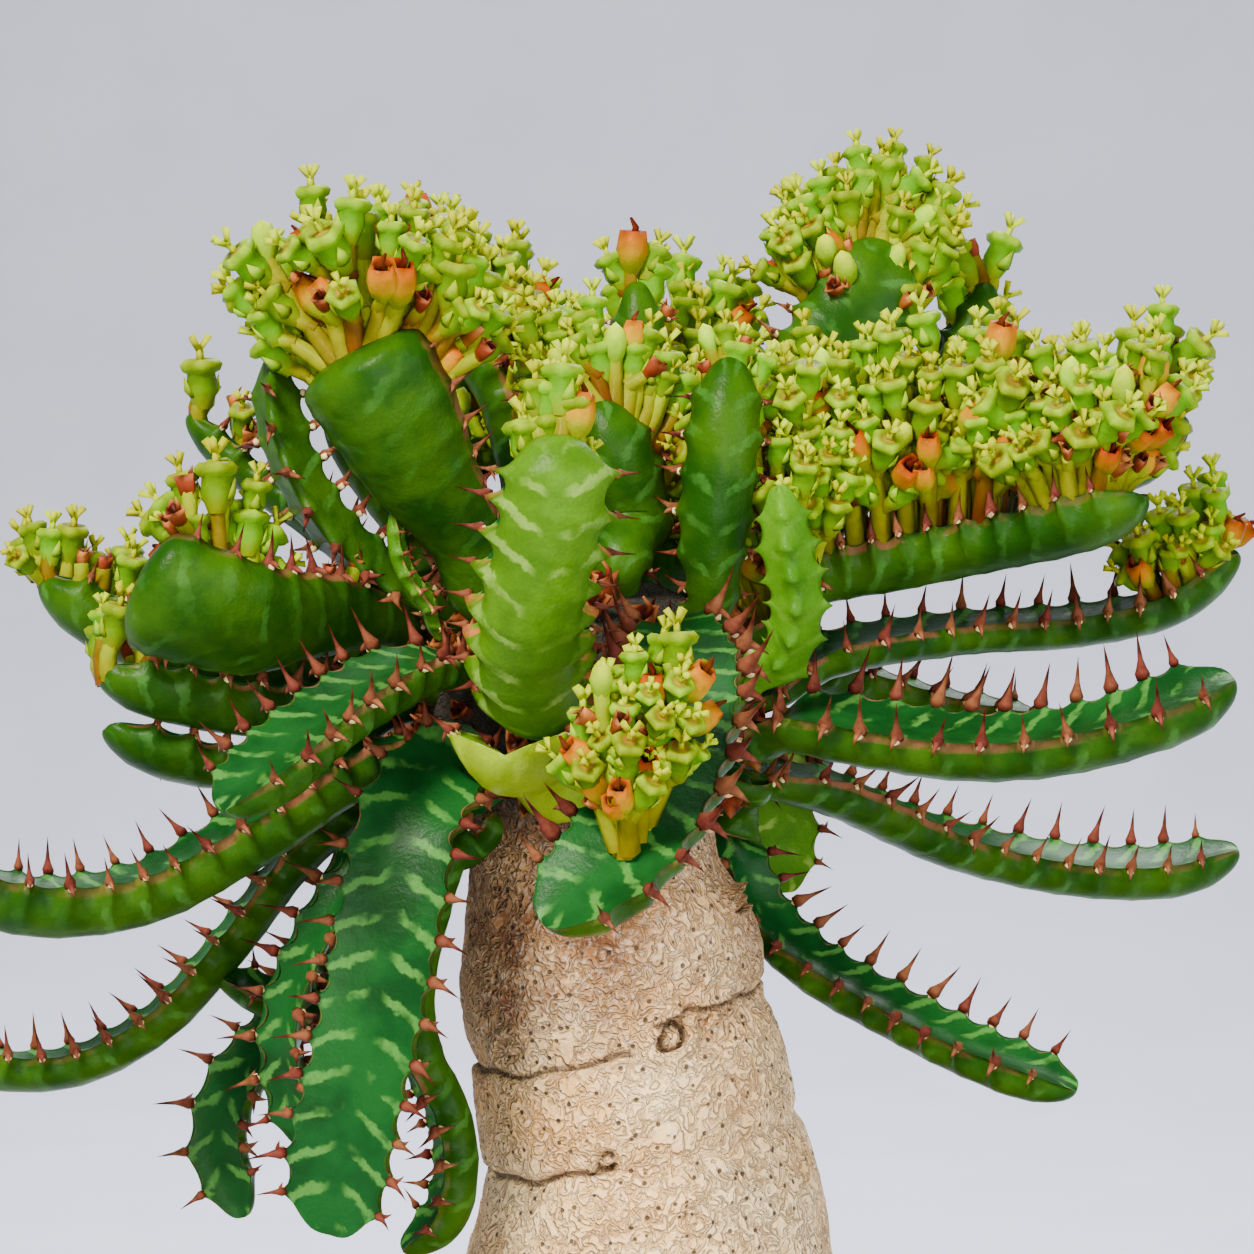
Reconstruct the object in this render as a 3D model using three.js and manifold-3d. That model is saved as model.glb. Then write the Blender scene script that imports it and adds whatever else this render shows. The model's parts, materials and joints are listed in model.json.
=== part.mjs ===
// A potted Euphorbia stellata: a clay pot, its soil, a swollen woody caudex and the
// toothed green arms that grow from its crown, each with its own spines and flowers.
// Millimetres, +Z up, the front towards -Y, the origin at the centre of the pot's foot.
import * as THREE from 'three';
import { mergeVertices } from 'three/addons/utils/BufferGeometryUtils.js';
import Module from 'manifold-3d';

const wasm = await Module();
wasm.setup();
const { Manifold, Mesh: SolidMesh } = wasm;

// The clearance that neighbouring pieces keep, and the shortest edge that is kept
const GAP = 0.3;
const SHORTEST_EDGE = 0.05;

// Pot
const POT_HEIGHT = 88;
const POT_FOOT_RADIUS = 38;
const POT_RIM_RADIUS = 56;
const POT_COLLAR_HEIGHT = 16;
const POT_COLLAR_STEP = 2.5;
const POT_WALL = 4;
const POT_FLOOR = 6;
const POT_EDGE = 1.2;
const POT_SEGMENTS = 24;
const DRAIN_HOLES = 4;
const DRAIN_RADIUS = 4;
const DRAIN_CIRCLE = 20;
const DRAIN_SIDES = 8;

// Soil, which rises a little towards the caudex
const SOIL_EDGE_TOP = 78;
const SOIL_MOUND_TOP = 81;
const SOIL_SHOULDER = 4;
const SOIL_SHOULDER_DROP = 0.5;
const SOIL_SEGMENTS = 20;

// Caudex outline from the tap root to the crown: height, radius, and how far its
// centre has leaned to the side there
const CAUDEX_OUTLINE = [
  [22, 7, 0],
  [34, 14, 0],
  [50, 23, 0],
  [66, 28, 0],
  [80, 29.5, 0],
  [94, 27.5, 0],
  [108, 24, 0],
  [120, 21.2, 0],
  [127, 19.6, -0.4],
  [131, 18.7, -0.8],
  [132.5, 17.4, -1],
  [134, 18.4, -1.2],
  [139, 18.3, -1.9],
  [144, 17.9, -3],
  [146, 16.4, -3.4],
  [148, 17.5, -3.8],
  [154, 18, -4.5],
  [160, 16.6, -5.5],
  [166, 14.8, -6.6],
  [172, 14.8, -6.8],
  [178, 17.2, -6.8],
  [184, 18.6, -6.8],
  [190, 17.4, -6.8],
  [194, 13.5, -6.8],
  [197, 7.5, -6.8],
];
const CAUDEX_PEAK = 0.5;
const CAUDEX_SEGMENTS = 20;
// The girdling grooves climb to the right, so the rings between these heights tilt
const GROOVE_TILT = 0.2;
const TILT_LOW = 118;
const TILT_FULL_LOW = 130;
const TILT_FULL_HIGH = 152;
const TILT_HIGH = 168;
// Flat facets of bark that stand out and in around the stem
const BARK_RELIEF = 0.5;
const RELIEF_FROM_RADIUS = 5;
const RELIEF_FULL_RADIUS = 10;

// Arms
const TOOTH_PITCH = 11;
const TOOTH_DEPTH = 1.5;
const TOOTH_RAISE = 0.5;
const NECK_WIDTH = 0.42;
const NECK_LENGTH = 15;
const TIP_LENGTH = 8;
const TIP_WIDTH = 0.35;
// How much smaller the teeth and spines of a young small arm are
const SMALL_ARM = 0.5;
const SEAT_DEPTH = 4;
const SEAT_STANDOFF = 3.5;
// The crown is widest at this height, and an arm leans up or down with its distance from it
const CROWN_MIDDLE = 181;
const CROWN_ROUNDNESS = 15;

// Cross-sections as shares of width and depth, from the middle of the flat face round by
// the right edge, the underside and the left edge. The toothed corners are listed, and
// the corner of an underside that is toothed too.
const TWO_EDGED = {
  outline: [[0, 0.14], [0.5, 0.36], [0.25, -0.42], [-0.25, -0.42], [-0.5, 0.36]],
  ridges: [1, 4],
  keel: -1,
};
const THREE_EDGED = {
  outline: [[0, 0.1], [0.5, 0.36], [0.19, -0.08], [0, -0.55], [-0.19, -0.08], [-0.5, 0.36]],
  ridges: [1, 3, 5],
  keel: 3,
};

// Spines: three-sided needles sunk in the flat face just inside each tooth
const SPINE_LENGTH = 5.2;
const SPINE_RADIUS = 0.7;
const SPINE_SUNK = 1.5;
const SPINE_LEAN = 0.12;
const SPINE_INSET = 1.6;
const SPINE_STEP = 1.3;

// Flowers: funnels that narrow down into their seat, closed by a peak of styles
const BLOOM_SIDES = 3;
const CUP_RADIUS = 2.4;
const CUP_RIM = 0.8;
const STYLE_HEIGHT = 1.7;
const BLOOM_SUNK = 2.7;
const BLOOM_INSET = 2.2;

// Flower heads along an arm's flat face. In a low head the flowers stand in rows on the
// face. In a tall head the stalks stand so close that they are one core, highest along
// its middle, and one flower stands out of each of its facets.
const HEAD_LEAN = 0.5;
const HEAD_FAN = 0.9;
const HEAD_UPRIGHT = 0.2;
const HEAD_SHORT_ROW = 0.55;
const CORE_FROM = 10;
const CORE_REACH = 6.2;
const CORE_END = 0.6;
const CORE_INSET = 3;
const CORE_PITCH = 8;
const CORE_SHARES = [-1, -0.4, 0.4, 1];
const FACET_SMALLEST = 5;
const FACET_LOWEST = -0.35;
const FACET_LEAN = 0.8;
const BLOOM_CLEAR = 0.25;
const BLOOM_TRIES = 8;
const BLOOM_RESTLESS = 0.12;

const COLOURS = {
  clay: { color: 0xb5683f, roughness: 0.85, metalness: 0 },
  soil: { color: 0x5b4c3c, roughness: 1, metalness: 0 },
  bark: { color: 0xc3a27a, roughness: 0.9, metalness: 0 },
  arm: { color: 0x2f7a32, roughness: 0.5, metalness: 0 },
  young: { color: 0x8cbf3a, roughness: 0.5, metalness: 0 },
};

// Every arm: the direction in degrees and the height at which it sits on the crown, the
// points its middle passes through, its full width and depth, the way its flat face
// looks, and where it flowers. Directions count from +X towards +Y.
const ARMS = [
  {
    name: 'arm_front_1', seat: [-104, 184], width: 14.5, depth: 9, face: [0, 0.92, 0.4], lift: 0.4,
    path: [[-12, -27, 185], [-13, -33, 190], [-12.5, -37, 197], [-11, -39, 204], [-10, -40, 210],
      [-10, -40, 215]],
    heads: [{ from: 0.8, to: 0.97, count: 3, rows: 2, tall: 8, fan: 0.3 }],
  },
  {
    name: 'arm_front_2', seat: [-100, 175.5], width: 15, depth: 4, face: [0, 0.15, 1], lift: 0.4,
    young: true,
    path: [[-13, -24, 176.5], [-15, -33, 177.5], [-15.5, -42, 181]],
  },
  {
    name: 'arm_front_3', seat: [-62, 191], width: 14.5, depth: 8, face: [0.05, -0.5, 0.87],
    path: [[4, -24, 190], [5, -33, 185], [3, -42, 177], [-3, -48, 170], [-10, -51, 165]],
    heads: [{ from: 0.68, to: 0.82, tall: 19, fan: 0.3, spread: 0.35 }],
  },
  {
    name: 'arm_right_1', seat: [-2, 190], width: 13, depth: 8, face: [0, 0.1, 1],
    path: [[18, 4, 197], [29, 4, 199.5], [40, 0, 202], [48, -4, 204], [56, -8, 207]],
    heads: [{ from: 0.2, to: 0.95, tall: 22, fan: 1.1 }],
  },
  {
    name: 'arm_right_2', seat: [18, 183], width: 12, depth: 6, face: [0, -0.12, 1],
    path: [[21, 8, 188], [37, 12, 190.5], [51, 12, 191.5], [61, 10, 194], [69, 8, 200]],
    heads: [{ from: 0.78, to: 0.98, tall: 12, fan: 0.7 }],
  },
  {
    name: 'arm_right_3', seat: [-28, 180], width: 14, depth: 8, face: [0, -0.44, 0.9],
    path: [[16, -13, 182], [26, -16, 181], [36, -20, 180], [47, -23, 181], [58, -25, 184], [67, -25, 188]],
  },
  {
    name: 'arm_right_4', seat: [6, 175.5], width: 12.5, depth: 7, face: [0, -0.3, 0.95],
    path: [[21, 6, 172.5], [36, 12, 165.5], [51, 14, 162], [62, 13, 162], [70, 12, 164.5]],
  },
  {
    name: 'arm_right_5', seat: [46, 185], width: 11, depth: 6, face: [0, -0.1, 1],
    path: [[14, 20, 186], [26, 25, 183.5], [38, 28, 180], [50, 30, 178]],
  },
  {
    name: 'arm_right_6', seat: [-14, 175], width: 11, depth: 7, face: [-0.15, -0.8, 0.6], lift: 0.45,
    path: [[11.5, 6, 171], [12.5, 8, 164], [14.5, 7.5, 158], [19, 4, 152.5], [28, -1, 147.5], [38, -8, 143.5],
      [48, -13, 140.5]],
  },
  {
    name: 'arm_right_7', seat: [34, 176], width: 10, depth: 4, face: [0, -1, 0.15], lift: 0.4,
    young: true,
    path: [[15, 16, 174.5], [19.5, 18, 168.5], [22, 19, 160]],
  },
  {
    name: 'arm_left_1', seat: [-128, 187], width: 14, depth: 8, face: [-0.1, -0.45, 0.88],
    path: [[-25, -21, 189], [-30, -27, 187], [-36, -34, 183], [-40, -40, 179.5], [-44.5, -45, 176]],
  },
  {
    name: 'arm_left_2', seat: [-158, 179], width: 13, depth: 8.5, face: [0, 0, 1],
    path: [[-33, -9, 177], [-45, -14, 169.5], [-56, -18, 164], [-66, -22, 163], [-74, -24, 165],
      [-81, -25, 169]],
  },
  {
    name: 'arm_left_3', seat: [180, 176], width: 11, depth: 6, face: [-0.3, 0, 0.95],
    path: [[-31, 2, 173.5], [-41, 2, 165], [-49, 0, 155], [-57, -2, 146.5], [-66, -4, 142], [-75, -6, 142],
      [-82, -8, 145]],
  },
  {
    name: 'arm_left_4', seat: [178, 188], width: 16, depth: 8.5, face: [0.3, 0.9, 0.3], lift: 0.45,
    path: [[-31, -5, 192], [-37, -13, 193], [-43, -21, 193], [-50, -26, 195.5], [-56, -27, 198]],
    heads: [{ from: 0.46, to: 0.68, tall: 15, fan: 0.4, spread: 0.5 }],
  },
  {
    name: 'arm_left_5', seat: [-162, 185], width: 10.5, depth: 6.5, face: [0, 0.4, 0.9], lift: 0.4,
    path: [[-36, -6, 183.5], [-46, -11, 183.5], [-54, -15, 185.5], [-61, -18, 188]],
    heads: [{ from: 0.9, to: 0.98, count: 1, rows: 1, tall: 8 }],
  },
  {
    name: 'arm_left_6', seat: [178, 182], width: 9.5, depth: 5, face: [0, 0.5, 0.85], lift: 0.3,
    path: [[-36, -3, 178.5], [-47, -7, 176.5], [-54, -11, 178], [-61, -14, 181.5]],
  },
  {
    name: 'arm_left_7', seat: [-128, 177], width: 13.5, depth: 5.5, face: [-0.15, -0.93, 0.3], lift: 0.42,
    path: [[-22, -20, 178], [-26, -26, 173], [-27.5, -29, 165], [-30, -30.5, 152], [-33, -30, 139],
      [-35, -28, 127.5]],
  },
  {
    name: 'arm_left_8', seat: [-160, 172.5], width: 7.5, depth: 7, face: [-0.4, 0.8, 0.4], lift: 0.4,
    edges: 3,
    path: [[-27, -6, 169.5], [-33, -10, 164], [-38, -11, 156], [-41, -10, 147], [-40.5, -8, 139],
      [-39, -7, 133]],
  },
  {
    name: 'arm_left_9', seat: [156, 173.5], width: 8.5, depth: 6, face: [-0.3, -0.85, 0.4], lift: 0.4,
    path: [[-27, 10, 170], [-34, 12, 163], [-38, 12, 153], [-44, 12, 143], [-49.5, 12, 136], [-51, 12, 129],
      [-48, 10, 121]],
  },
  {
    name: 'arm_left_10', seat: [178, 169.5], width: 8, depth: 5, face: [-0.2, -0.4, 0.9], lift: 0.3,
    path: [[-25.5, 3, 165], [-27, 4, 156], [-30, 3, 149], [-36, 1, 146.5], [-43, 0, 148.5], [-50, -2, 152]],
  },
  {
    name: 'arm_left_11', seat: [-140, 170], width: 8, depth: 6.5, face: [-1, -0.25, 0.1], lift: 0.45,
    path: [[-22.5, -13, 167], [-25.5, -14, 160], [-27, -13.5, 151], [-26, -12.5, 144], [-23.2, -12, 138],
      [-22.2, -12, 132], [-23.5, -12, 126], [-28, -12, 122]],
  },
  {
    name: 'arm_left_12', seat: [162, 186], width: 10, depth: 6, face: [0.1, 0.6, 0.8], lift: 0.4,
    path: [[-35, 4, 187], [-47, 0, 187], [-57, -5, 190], [-64, -7, 194], [-69, -7, 197.5]],
    heads: [{ from: 0.76, to: 0.98, count: 3, rows: 3, tall: 10 }],
  },
  {
    name: 'arm_top_1', seat: [-138, 193.5], width: 13, depth: 11.5, face: [0.5, 0.1, 0.85], lift: 0.4,
    path: [[-20, -14, 202], [-25, -19, 211], [-30.5, -22, 218], [-36, -23, 224]],
    heads: [{ from: 0.42, to: 0.98, tall: 23, fan: 2 }],
  },
  {
    name: 'arm_top_2', seat: [172, 193], width: 8.5, depth: 6, face: [0.5, -0.2, 0.85],
    path: [[-27, 1, 202], [-32.5, 1, 210], [-37, 1, 216.5]],
    heads: [{ from: 0.75, to: 0.96, count: 2, rows: 2, tall: 9 }],
  },
  {
    name: 'arm_top_3', seat: [-160, 192], width: 7.5, depth: 7, face: [0.1, 1, 0.15], edges: 3, lift: 0.4,
    path: [[-30, -9, 198], [-36, -12, 204], [-40, -13, 211], [-42, -12, 218], [-42, -11, 223.5]],
  },
  {
    name: 'arm_top_4', seat: [144, 190], width: 8.5, depth: 5, face: [0.4, 0.3, 0.9],
    path: [[-31, 15, 197], [-39, 17, 203.5], [-47, 18, 210], [-53, 18, 216]],
    heads: [{ from: 0.85, to: 0.97, count: 1, rows: 2, tall: 9 }],
  },
  {
    name: 'arm_top_5', seat: [-148, 190.5], width: 3.6, depth: 2.6, face: [0.9, -0.2, 0.4],
    small: true, young: true,
    path: [[-24.5, -13, 195], [-27.5, -15, 200], [-28.5, -15.5, 206]],
  },
  {
    name: 'arm_top_6', seat: [150, 196], width: 10, depth: 7, face: [0.6, 0, 0.8],
    path: [[-14, 8, 204], [-15.5, 11, 213], [-18, 13, 220], [-23, 14, 225.5], [-29, 14, 229]],
    heads: [{ from: 0.45, to: 0.98, tall: 14, fan: 1.2 }],
  },
  {
    name: 'arm_top_7', seat: [-40, 193], width: 9.5, depth: 7, face: [0, 1, 0.05], lift: 0.4,
    path: [[7, -12, 202], [8, -12.5, 212], [9, -11, 223]],
    heads: [{ from: 0.92, to: 0.98, count: 1, rows: 1, tall: 4 }],
  },
  {
    name: 'arm_top_8', seat: [-70, 197], width: 10.5, depth: 7, face: [0, 1, 0.1], lift: 0.4,
    path: [[-2, -5, 205], [-4, -7, 212], [-6, -7, 218]],
    heads: [{ from: 0.7, to: 0.97, tall: 11, fan: 1.2 }],
  },
  {
    name: 'arm_top_9', seat: [-44, 186.5], width: 7, depth: 5.5, face: [0.1, 1, 0], edges: 3, young: true,
    spineless: true,
    path: [[14, -17, 189], [16, -19.5, 195], [15, -20, 202], [14, -20, 209]],
  },
  {
    name: 'arm_top_10', seat: [20, 196.5], width: 15, depth: 6, face: [0, 1, 0.1], lift: 0.4,
    path: [[7, 8, 204], [13, 15, 211], [19.5, 19, 219], [25, 23, 228], [28.5, 25, 237]],
    heads: [{ from: 0.7, to: 0.98, tall: 15, fan: 1.8, spread: 1.25 }],
  },
  {
    name: 'arm_top_11', seat: [54, 191], width: 8, depth: 6, face: [-0.3, 0.9, 0.2], lift: 0.4,
    path: [[10, 20, 196], [20, 25, 202], [31, 30, 213], [39, 33, 224], [42, 34, 232]],
    heads: [{ from: 0.9, to: 0.98, count: 1, rows: 2, tall: 7 }],
  },
  {
    name: 'arm_top_12', seat: [92, 196.5], width: 8, depth: 6, face: [0, 1, 0],
    path: [[-2, 13, 203], [-0.5, 18, 213], [1, 21, 223], [1, 22, 232]],
    heads: [{ from: 0.8, to: 0.97, count: 2, rows: 2, tall: 8 }],
  },
  {
    name: 'arm_top_13', seat: [24, 191], width: 9.5, depth: 6.5, face: [-0.2, 0.2, 0.95],
    path: [[14, 14, 194.5], [24, 21, 199], [36, 26, 203], [48, 29, 206], [60, 31, 210], [66, 31, 215.5]],
    heads: [{ from: 0.6, to: 0.97, tall: 15 }],
  },
  {
    name: 'arm_back_1', seat: [62, 176], width: 12.5, depth: 7, face: [0, 0, 1],
    path: [[6, 25, 176.5], [12, 34, 174.5], [17, 42, 172.5], [22, 50, 172.5]],
  },
  {
    name: 'arm_back_2', seat: [90, 175], width: 11.5, depth: 6, face: [0, 0.9, 0.4], lift: 0.4,
    path: [[-3, 26, 172.5], [1, 35, 166], [4, 40, 156], [5, 42, 146], [4, 41, 137]],
  },
  {
    name: 'arm_back_3', seat: [122, 176], width: 12, depth: 6.5, face: [-0.1, 0, 1],
    path: [[-20, 24, 177], [-27, 33, 176], [-33, 41, 174], [-39, 48, 175]],
  },
  {
    name: 'arm_back_4', seat: [74, 184], width: 13, depth: 8, face: [0, 0.1, 1],
    path: [[2, 28, 186.5], [7, 38, 188], [12, 47, 190.5], [16, 55, 195]],
  },
  {
    name: 'arm_back_5', seat: [106, 184], width: 13, depth: 8, face: [0, 0, 1],
    path: [[-14, 27, 186], [-18, 37, 186], [-23, 46, 187.5], [-28, 54, 191]],
    heads: [{ from: 0.8, to: 0.96, count: 2, rows: 2, tall: 9 }],
  },
  {
    name: 'arm_back_6', seat: [134, 185], width: 13, depth: 8, face: [0, 0, 1],
    path: [[-27, 19, 187.5], [-36, 26, 189], [-45, 33, 191.5], [-52, 38, 196]],
  },
  {
    name: 'arm_back_7', seat: [82, 191.5], width: 11, depth: 7, face: [0, -0.9, 0.4],
    path: [[-3, 23, 198], [0, 30, 206], [3, 35, 215], [4, 36, 223]],
    heads: [{ from: 0.55, to: 0.97, tall: 13, fan: 1.2 }],
  },
  {
    name: 'arm_back_8', seat: [116, 192.5], width: 11, depth: 7, face: [0.5, -0.7, 0.5],
    path: [[-19, 20, 199], [-24, 27, 206], [-29, 31, 214], [-33, 32, 222]],
    heads: [{ from: 0.62, to: 0.97, tall: 13, fan: 1.2 }],
  },
  {
    name: 'arm_back_9', seat: [140, 176.5], width: 10.5, depth: 6, face: [-0.3, 0.1, 0.95],
    path: [[-28, 18, 176], [-35, 25, 173.5], [-40, 31, 170.5], [-45, 37, 169.5]],
  },
  {
    name: 'arm_back_10', seat: [108, 174.5], width: 11.5, depth: 6, face: [-0.1, 0.9, 0.4], lift: 0.4,
    path: [[-14, 26, 172.5], [-14, 36, 166.5], [-12.5, 43, 157], [-11.5, 45, 144], [-11, 44, 131]],
  },
];

const vector = (place) => new THREE.Vector3(...place);
const degrees = THREE.MathUtils.degToRad;
const smoothstep = THREE.MathUtils.smoothstep;
const lerp = THREE.MathUtils.lerp;

// The same draw between 0 and 1 each time for a given count and purpose
function draw(count, purpose) {
  const wave = Math.sin(count * 12.9898 + purpose * 78.233) * 43758.5453;
  return wave - Math.floor(wave);
}

// A solid from a closed geometry
function solidFrom(geometry) {
  geometry.deleteAttribute('normal');
  geometry.deleteAttribute('uv');
  const merged = mergeVertices(geometry, 1e-4);
  return new Manifold(new SolidMesh({
    numProp: 3,
    vertProperties: new Float32Array(merged.attributes.position.array),
    triVerts: new Uint32Array(merged.index.array),
  }));
}

// A named mesh of a solid
function meshFrom(solid, name, look) {
  const { vertProperties, triVerts } = solid.getMesh();
  const geometry = new THREE.BufferGeometry();
  geometry.setAttribute('position', new THREE.BufferAttribute(vertProperties, 3));
  geometry.setIndex(new THREE.BufferAttribute(triVerts, 1));
  geometry.computeVertexNormals();
  const mesh = new THREE.Mesh(geometry, new THREE.MeshStandardMaterial(COLOURS[look]));
  mesh.name = name;
  return mesh;
}

// A turned shape from its outline of radius and height, standing on +Z
function turned(outline, segments) {
  const points = outline.map(([radius, height]) => new THREE.Vector2(radius, height));
  return new THREE.LatheGeometry(points, segments).rotateX(Math.PI / 2);
}

// A solid whose +Y end is swung to a direction and whose foot is put at a place
function planted(geometry, foot, direction) {
  const up = new THREE.Vector3(0, 1, 0);
  geometry.applyQuaternion(new THREE.Quaternion().setFromUnitVectors(up, direction));
  geometry.translate(foot.x, foot.y, foot.z);
  return solidFrom(geometry);
}

// The pot's inner radius at a height, from the slope of its wall
function potInside(height) {
  const wallRadius = lerp(POT_FOOT_RADIUS, POT_RIM_RADIUS - POT_COLLAR_STEP, height / POT_HEIGHT);
  return wallRadius - POT_WALL;
}

function potSolid() {
  const collarFoot = POT_HEIGHT - POT_COLLAR_HEIGHT;
  const outline = [
    [0, 0],
    [POT_FOOT_RADIUS - POT_EDGE, 0],
    [POT_FOOT_RADIUS, POT_EDGE],
    [potInside(collarFoot) + POT_WALL, collarFoot],
    [POT_RIM_RADIUS - POT_EDGE / 2, collarFoot + POT_EDGE],
    [POT_RIM_RADIUS, POT_HEIGHT - POT_EDGE],
    [POT_RIM_RADIUS - POT_EDGE, POT_HEIGHT],
    [potInside(POT_HEIGHT) + POT_EDGE, POT_HEIGHT],
    [potInside(POT_HEIGHT), POT_HEIGHT - POT_EDGE],
    [potInside(POT_FLOOR), POT_FLOOR],
    [0, POT_FLOOR],
  ];
  let pot = solidFrom(turned(outline, POT_SEGMENTS));
  for (let hole = 0; hole < DRAIN_HOLES; hole += 1) {
    const angle = ((hole + 0.5) * 2 * Math.PI) / DRAIN_HOLES;
    const drill = new THREE.CylinderGeometry(DRAIN_RADIUS, DRAIN_RADIUS, 4 * POT_FLOOR, DRAIN_SIDES);
    drill.rotateX(Math.PI / 2);
    drill.translate(DRAIN_CIRCLE * Math.cos(angle), DRAIN_CIRCLE * Math.sin(angle), 0);
    pot = pot.subtract(solidFrom(drill));
  }
  return pot;
}

// The caudex, or with a gap the plain hole that it stands in
function caudexSolid(gap = 0) {
  const last = CAUDEX_OUTLINE.length - 1;
  const outline = CAUDEX_OUTLINE.map(([height, radius]) => [radius + gap, height]);
  outline.unshift([0, CAUDEX_OUTLINE[0][0] - gap]);
  outline[1][1] -= gap;
  outline[last + 1][1] += gap;
  outline.push([0, CAUDEX_OUTLINE[last][0] + CAUDEX_PEAK + gap]);
  const geometry = turned(outline, CAUDEX_SEGMENTS);
  const spots = geometry.getAttribute('position');
  for (let i = 0; i < spots.count; i += 1) {
    const height = spots.getZ(i);
    const tilt = GROOVE_TILT * smoothstep(height, TILT_LOW, TILT_FULL_LOW)
      * (1 - smoothstep(height, TILT_FULL_HIGH, TILT_HIGH));
    const angle = Math.atan2(spots.getY(i), spots.getX(i));
    const side = (Math.round((angle / (2 * Math.PI)) * CAUDEX_SEGMENTS) + CAUDEX_SEGMENTS) % CAUDEX_SEGMENTS;
    const radius = Math.hypot(spots.getX(i), spots.getY(i));
    const relief = BARK_RELIEF * (draw(side, Math.round(height)) - 0.5)
      * smoothstep(radius, RELIEF_FROM_RADIUS, RELIEF_FULL_RADIUS);
    const x = spots.getX(i) + relief * Math.cos(angle);
    const y = spots.getY(i) + relief * Math.sin(angle);
    spots.setXYZ(i, x + crownLean(height), y, height + tilt * x);
  }
  return solidFrom(geometry);
}

// How far the caudex's centre has leaned at a height
function crownLean(height) {
  const next = CAUDEX_OUTLINE.findIndex(([level]) => level >= height);
  if (next < 1) {
    return CAUDEX_OUTLINE[next === 0 ? 0 : CAUDEX_OUTLINE.length - 1][2];
  }
  const [lowLevel, , lowLean] = CAUDEX_OUTLINE[next - 1];
  const [highLevel, , highLean] = CAUDEX_OUTLINE[next];
  return lerp(lowLean, highLean, (height - lowLevel) / (highLevel - lowLevel));
}

// The caudex's radius at a height
function crownRadius(height) {
  const next = CAUDEX_OUTLINE.findIndex(([level]) => level >= height);
  const [lowLevel, lowRadius] = CAUDEX_OUTLINE[next - 1];
  const [highLevel, highRadius] = CAUDEX_OUTLINE[next];
  return lerp(lowRadius, highRadius, (height - lowLevel) / (highLevel - lowLevel));
}

function soilSolid(caudexHole) {
  const outline = [
    [0, POT_FLOOR + GAP],
    [potInside(POT_FLOOR + GAP) - GAP, POT_FLOOR + GAP],
    [potInside(SOIL_EDGE_TOP) - GAP, SOIL_EDGE_TOP],
    [crownRadius(SOIL_EDGE_TOP) + SOIL_SHOULDER, SOIL_MOUND_TOP - SOIL_SHOULDER_DROP],
    [0, SOIL_MOUND_TOP],
  ];
  return solidFrom(turned(outline, SOIL_SEGMENTS)).subtract(caudexHole);
}

// The curve of an arm's middle, from inside the crown outwards, and its cross-section at
// each ring: even rings are notches and odd rings are teeth
function armRail(arm) {
  const [direction, height] = arm.seat;
  const outward = vector([Math.cos(degrees(direction)), Math.sin(degrees(direction)), 0]);
  const rise = (height - CROWN_MIDDLE) / CROWN_ROUNDNESS;
  const normal = vector([outward.x, outward.y, rise]).normalize();
  const skin = outward.clone().multiplyScalar(crownRadius(height));
  skin.add(vector([crownLean(height), 0, height]));
  const root = skin.clone().addScaledVector(normal, -SEAT_DEPTH);
  const exit = skin.clone().addScaledVector(normal, SEAT_STANDOFF);
  const curve = new THREE.CatmullRomCurve3([root, exit, ...arm.path.map(vector)]);
  const length = curve.getLength();
  const pitch = arm.small ? TOOTH_PITCH * SMALL_ARM : TOOTH_PITCH;
  const rings = 2 * Math.max(2, Math.round(length / pitch));
  const section = arm.edges === 3 ? THREE_EDGED : TWO_EDGED;
  const face = vector(arm.face);
  const frameAt = (u) => {
    const centre = curve.getPointAt(u);
    const along = curve.getTangentAt(u);
    const across = new THREE.Vector3().crossVectors(along, face).normalize();
    const up = new THREE.Vector3().crossVectors(across, along).normalize();
    const neck = lerp(NECK_WIDTH, 1, smoothstep(u * length, SEAT_DEPTH, NECK_LENGTH + SEAT_DEPTH));
    const toTip = Math.min(1, ((1 - u) * length) / TIP_LENGTH);
    const tip = Math.max(TIP_WIDTH, Math.sqrt(1 - (1 - toTip) ** 2));
    return { centre, along, across, up, fullness: neck * tip };
  };
  return { arm, length, rings, section, frameAt };
}

// A point of an arm's skin at a ring and a corner of its cross-section
function skinPoint(rail, ring, corner, gap = 0) {
  const { arm, section } = rail;
  const { centre, along, across, up, fullness } = rail.frameAt(ring / rail.rings);
  const [wide, deep] = section.outline[corner];
  const isRidge = section.ridges.includes(corner);
  const isKeel = corner === section.keel;
  const isTooth = ring % 2 === 1;
  const size = arm.small ? SMALL_ARM : 1;
  const cut = isRidge && !isTooth ? TOOTH_DEPTH * size * fullness : 0;
  const raise = isRidge && isTooth && !isKeel ? TOOTH_RAISE * size : 0;
  const sideways = wide * arm.width * fullness - Math.sign(wide) * (cut - gap);
  const depthwise = deep * arm.depth * fullness + raise + Math.sign(deep) * gap + (isKeel ? cut : 0);
  const end = ring === rail.rings ? gap : 0;
  return centre.clone()
    .addScaledVector(across, sideways)
    .addScaledVector(up, depthwise)
    .addScaledVector(along, end);
}

// An arm's body alone, or with a gap the room that its neighbours leave it
function armBody(rail, gap = 0) {
  const sides = rail.section.outline.length;
  const geometry = new THREE.CylinderGeometry(1, 1, 1, sides, rail.rings);
  const spots = geometry.getAttribute('position');
  for (let i = 0; i < spots.count; i += 1) {
    const x = spots.getX(i);
    const z = spots.getZ(i);
    const ring = Math.round((spots.getY(i) + 0.5) * rail.rings);
    const corner = (Math.round((Math.atan2(x, z) / (2 * Math.PI)) * sides) + sides) % sides;
    const isAxis = Math.hypot(x, z) < 0.5;
    const spot = isAxis ? rail.frameAt(ring / rail.rings).centre : skinPoint(rail, ring, corner, gap);
    spots.setXYZ(i, spot.x, spot.y, spot.z);
  }
  return solidFrom(geometry);
}

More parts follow.
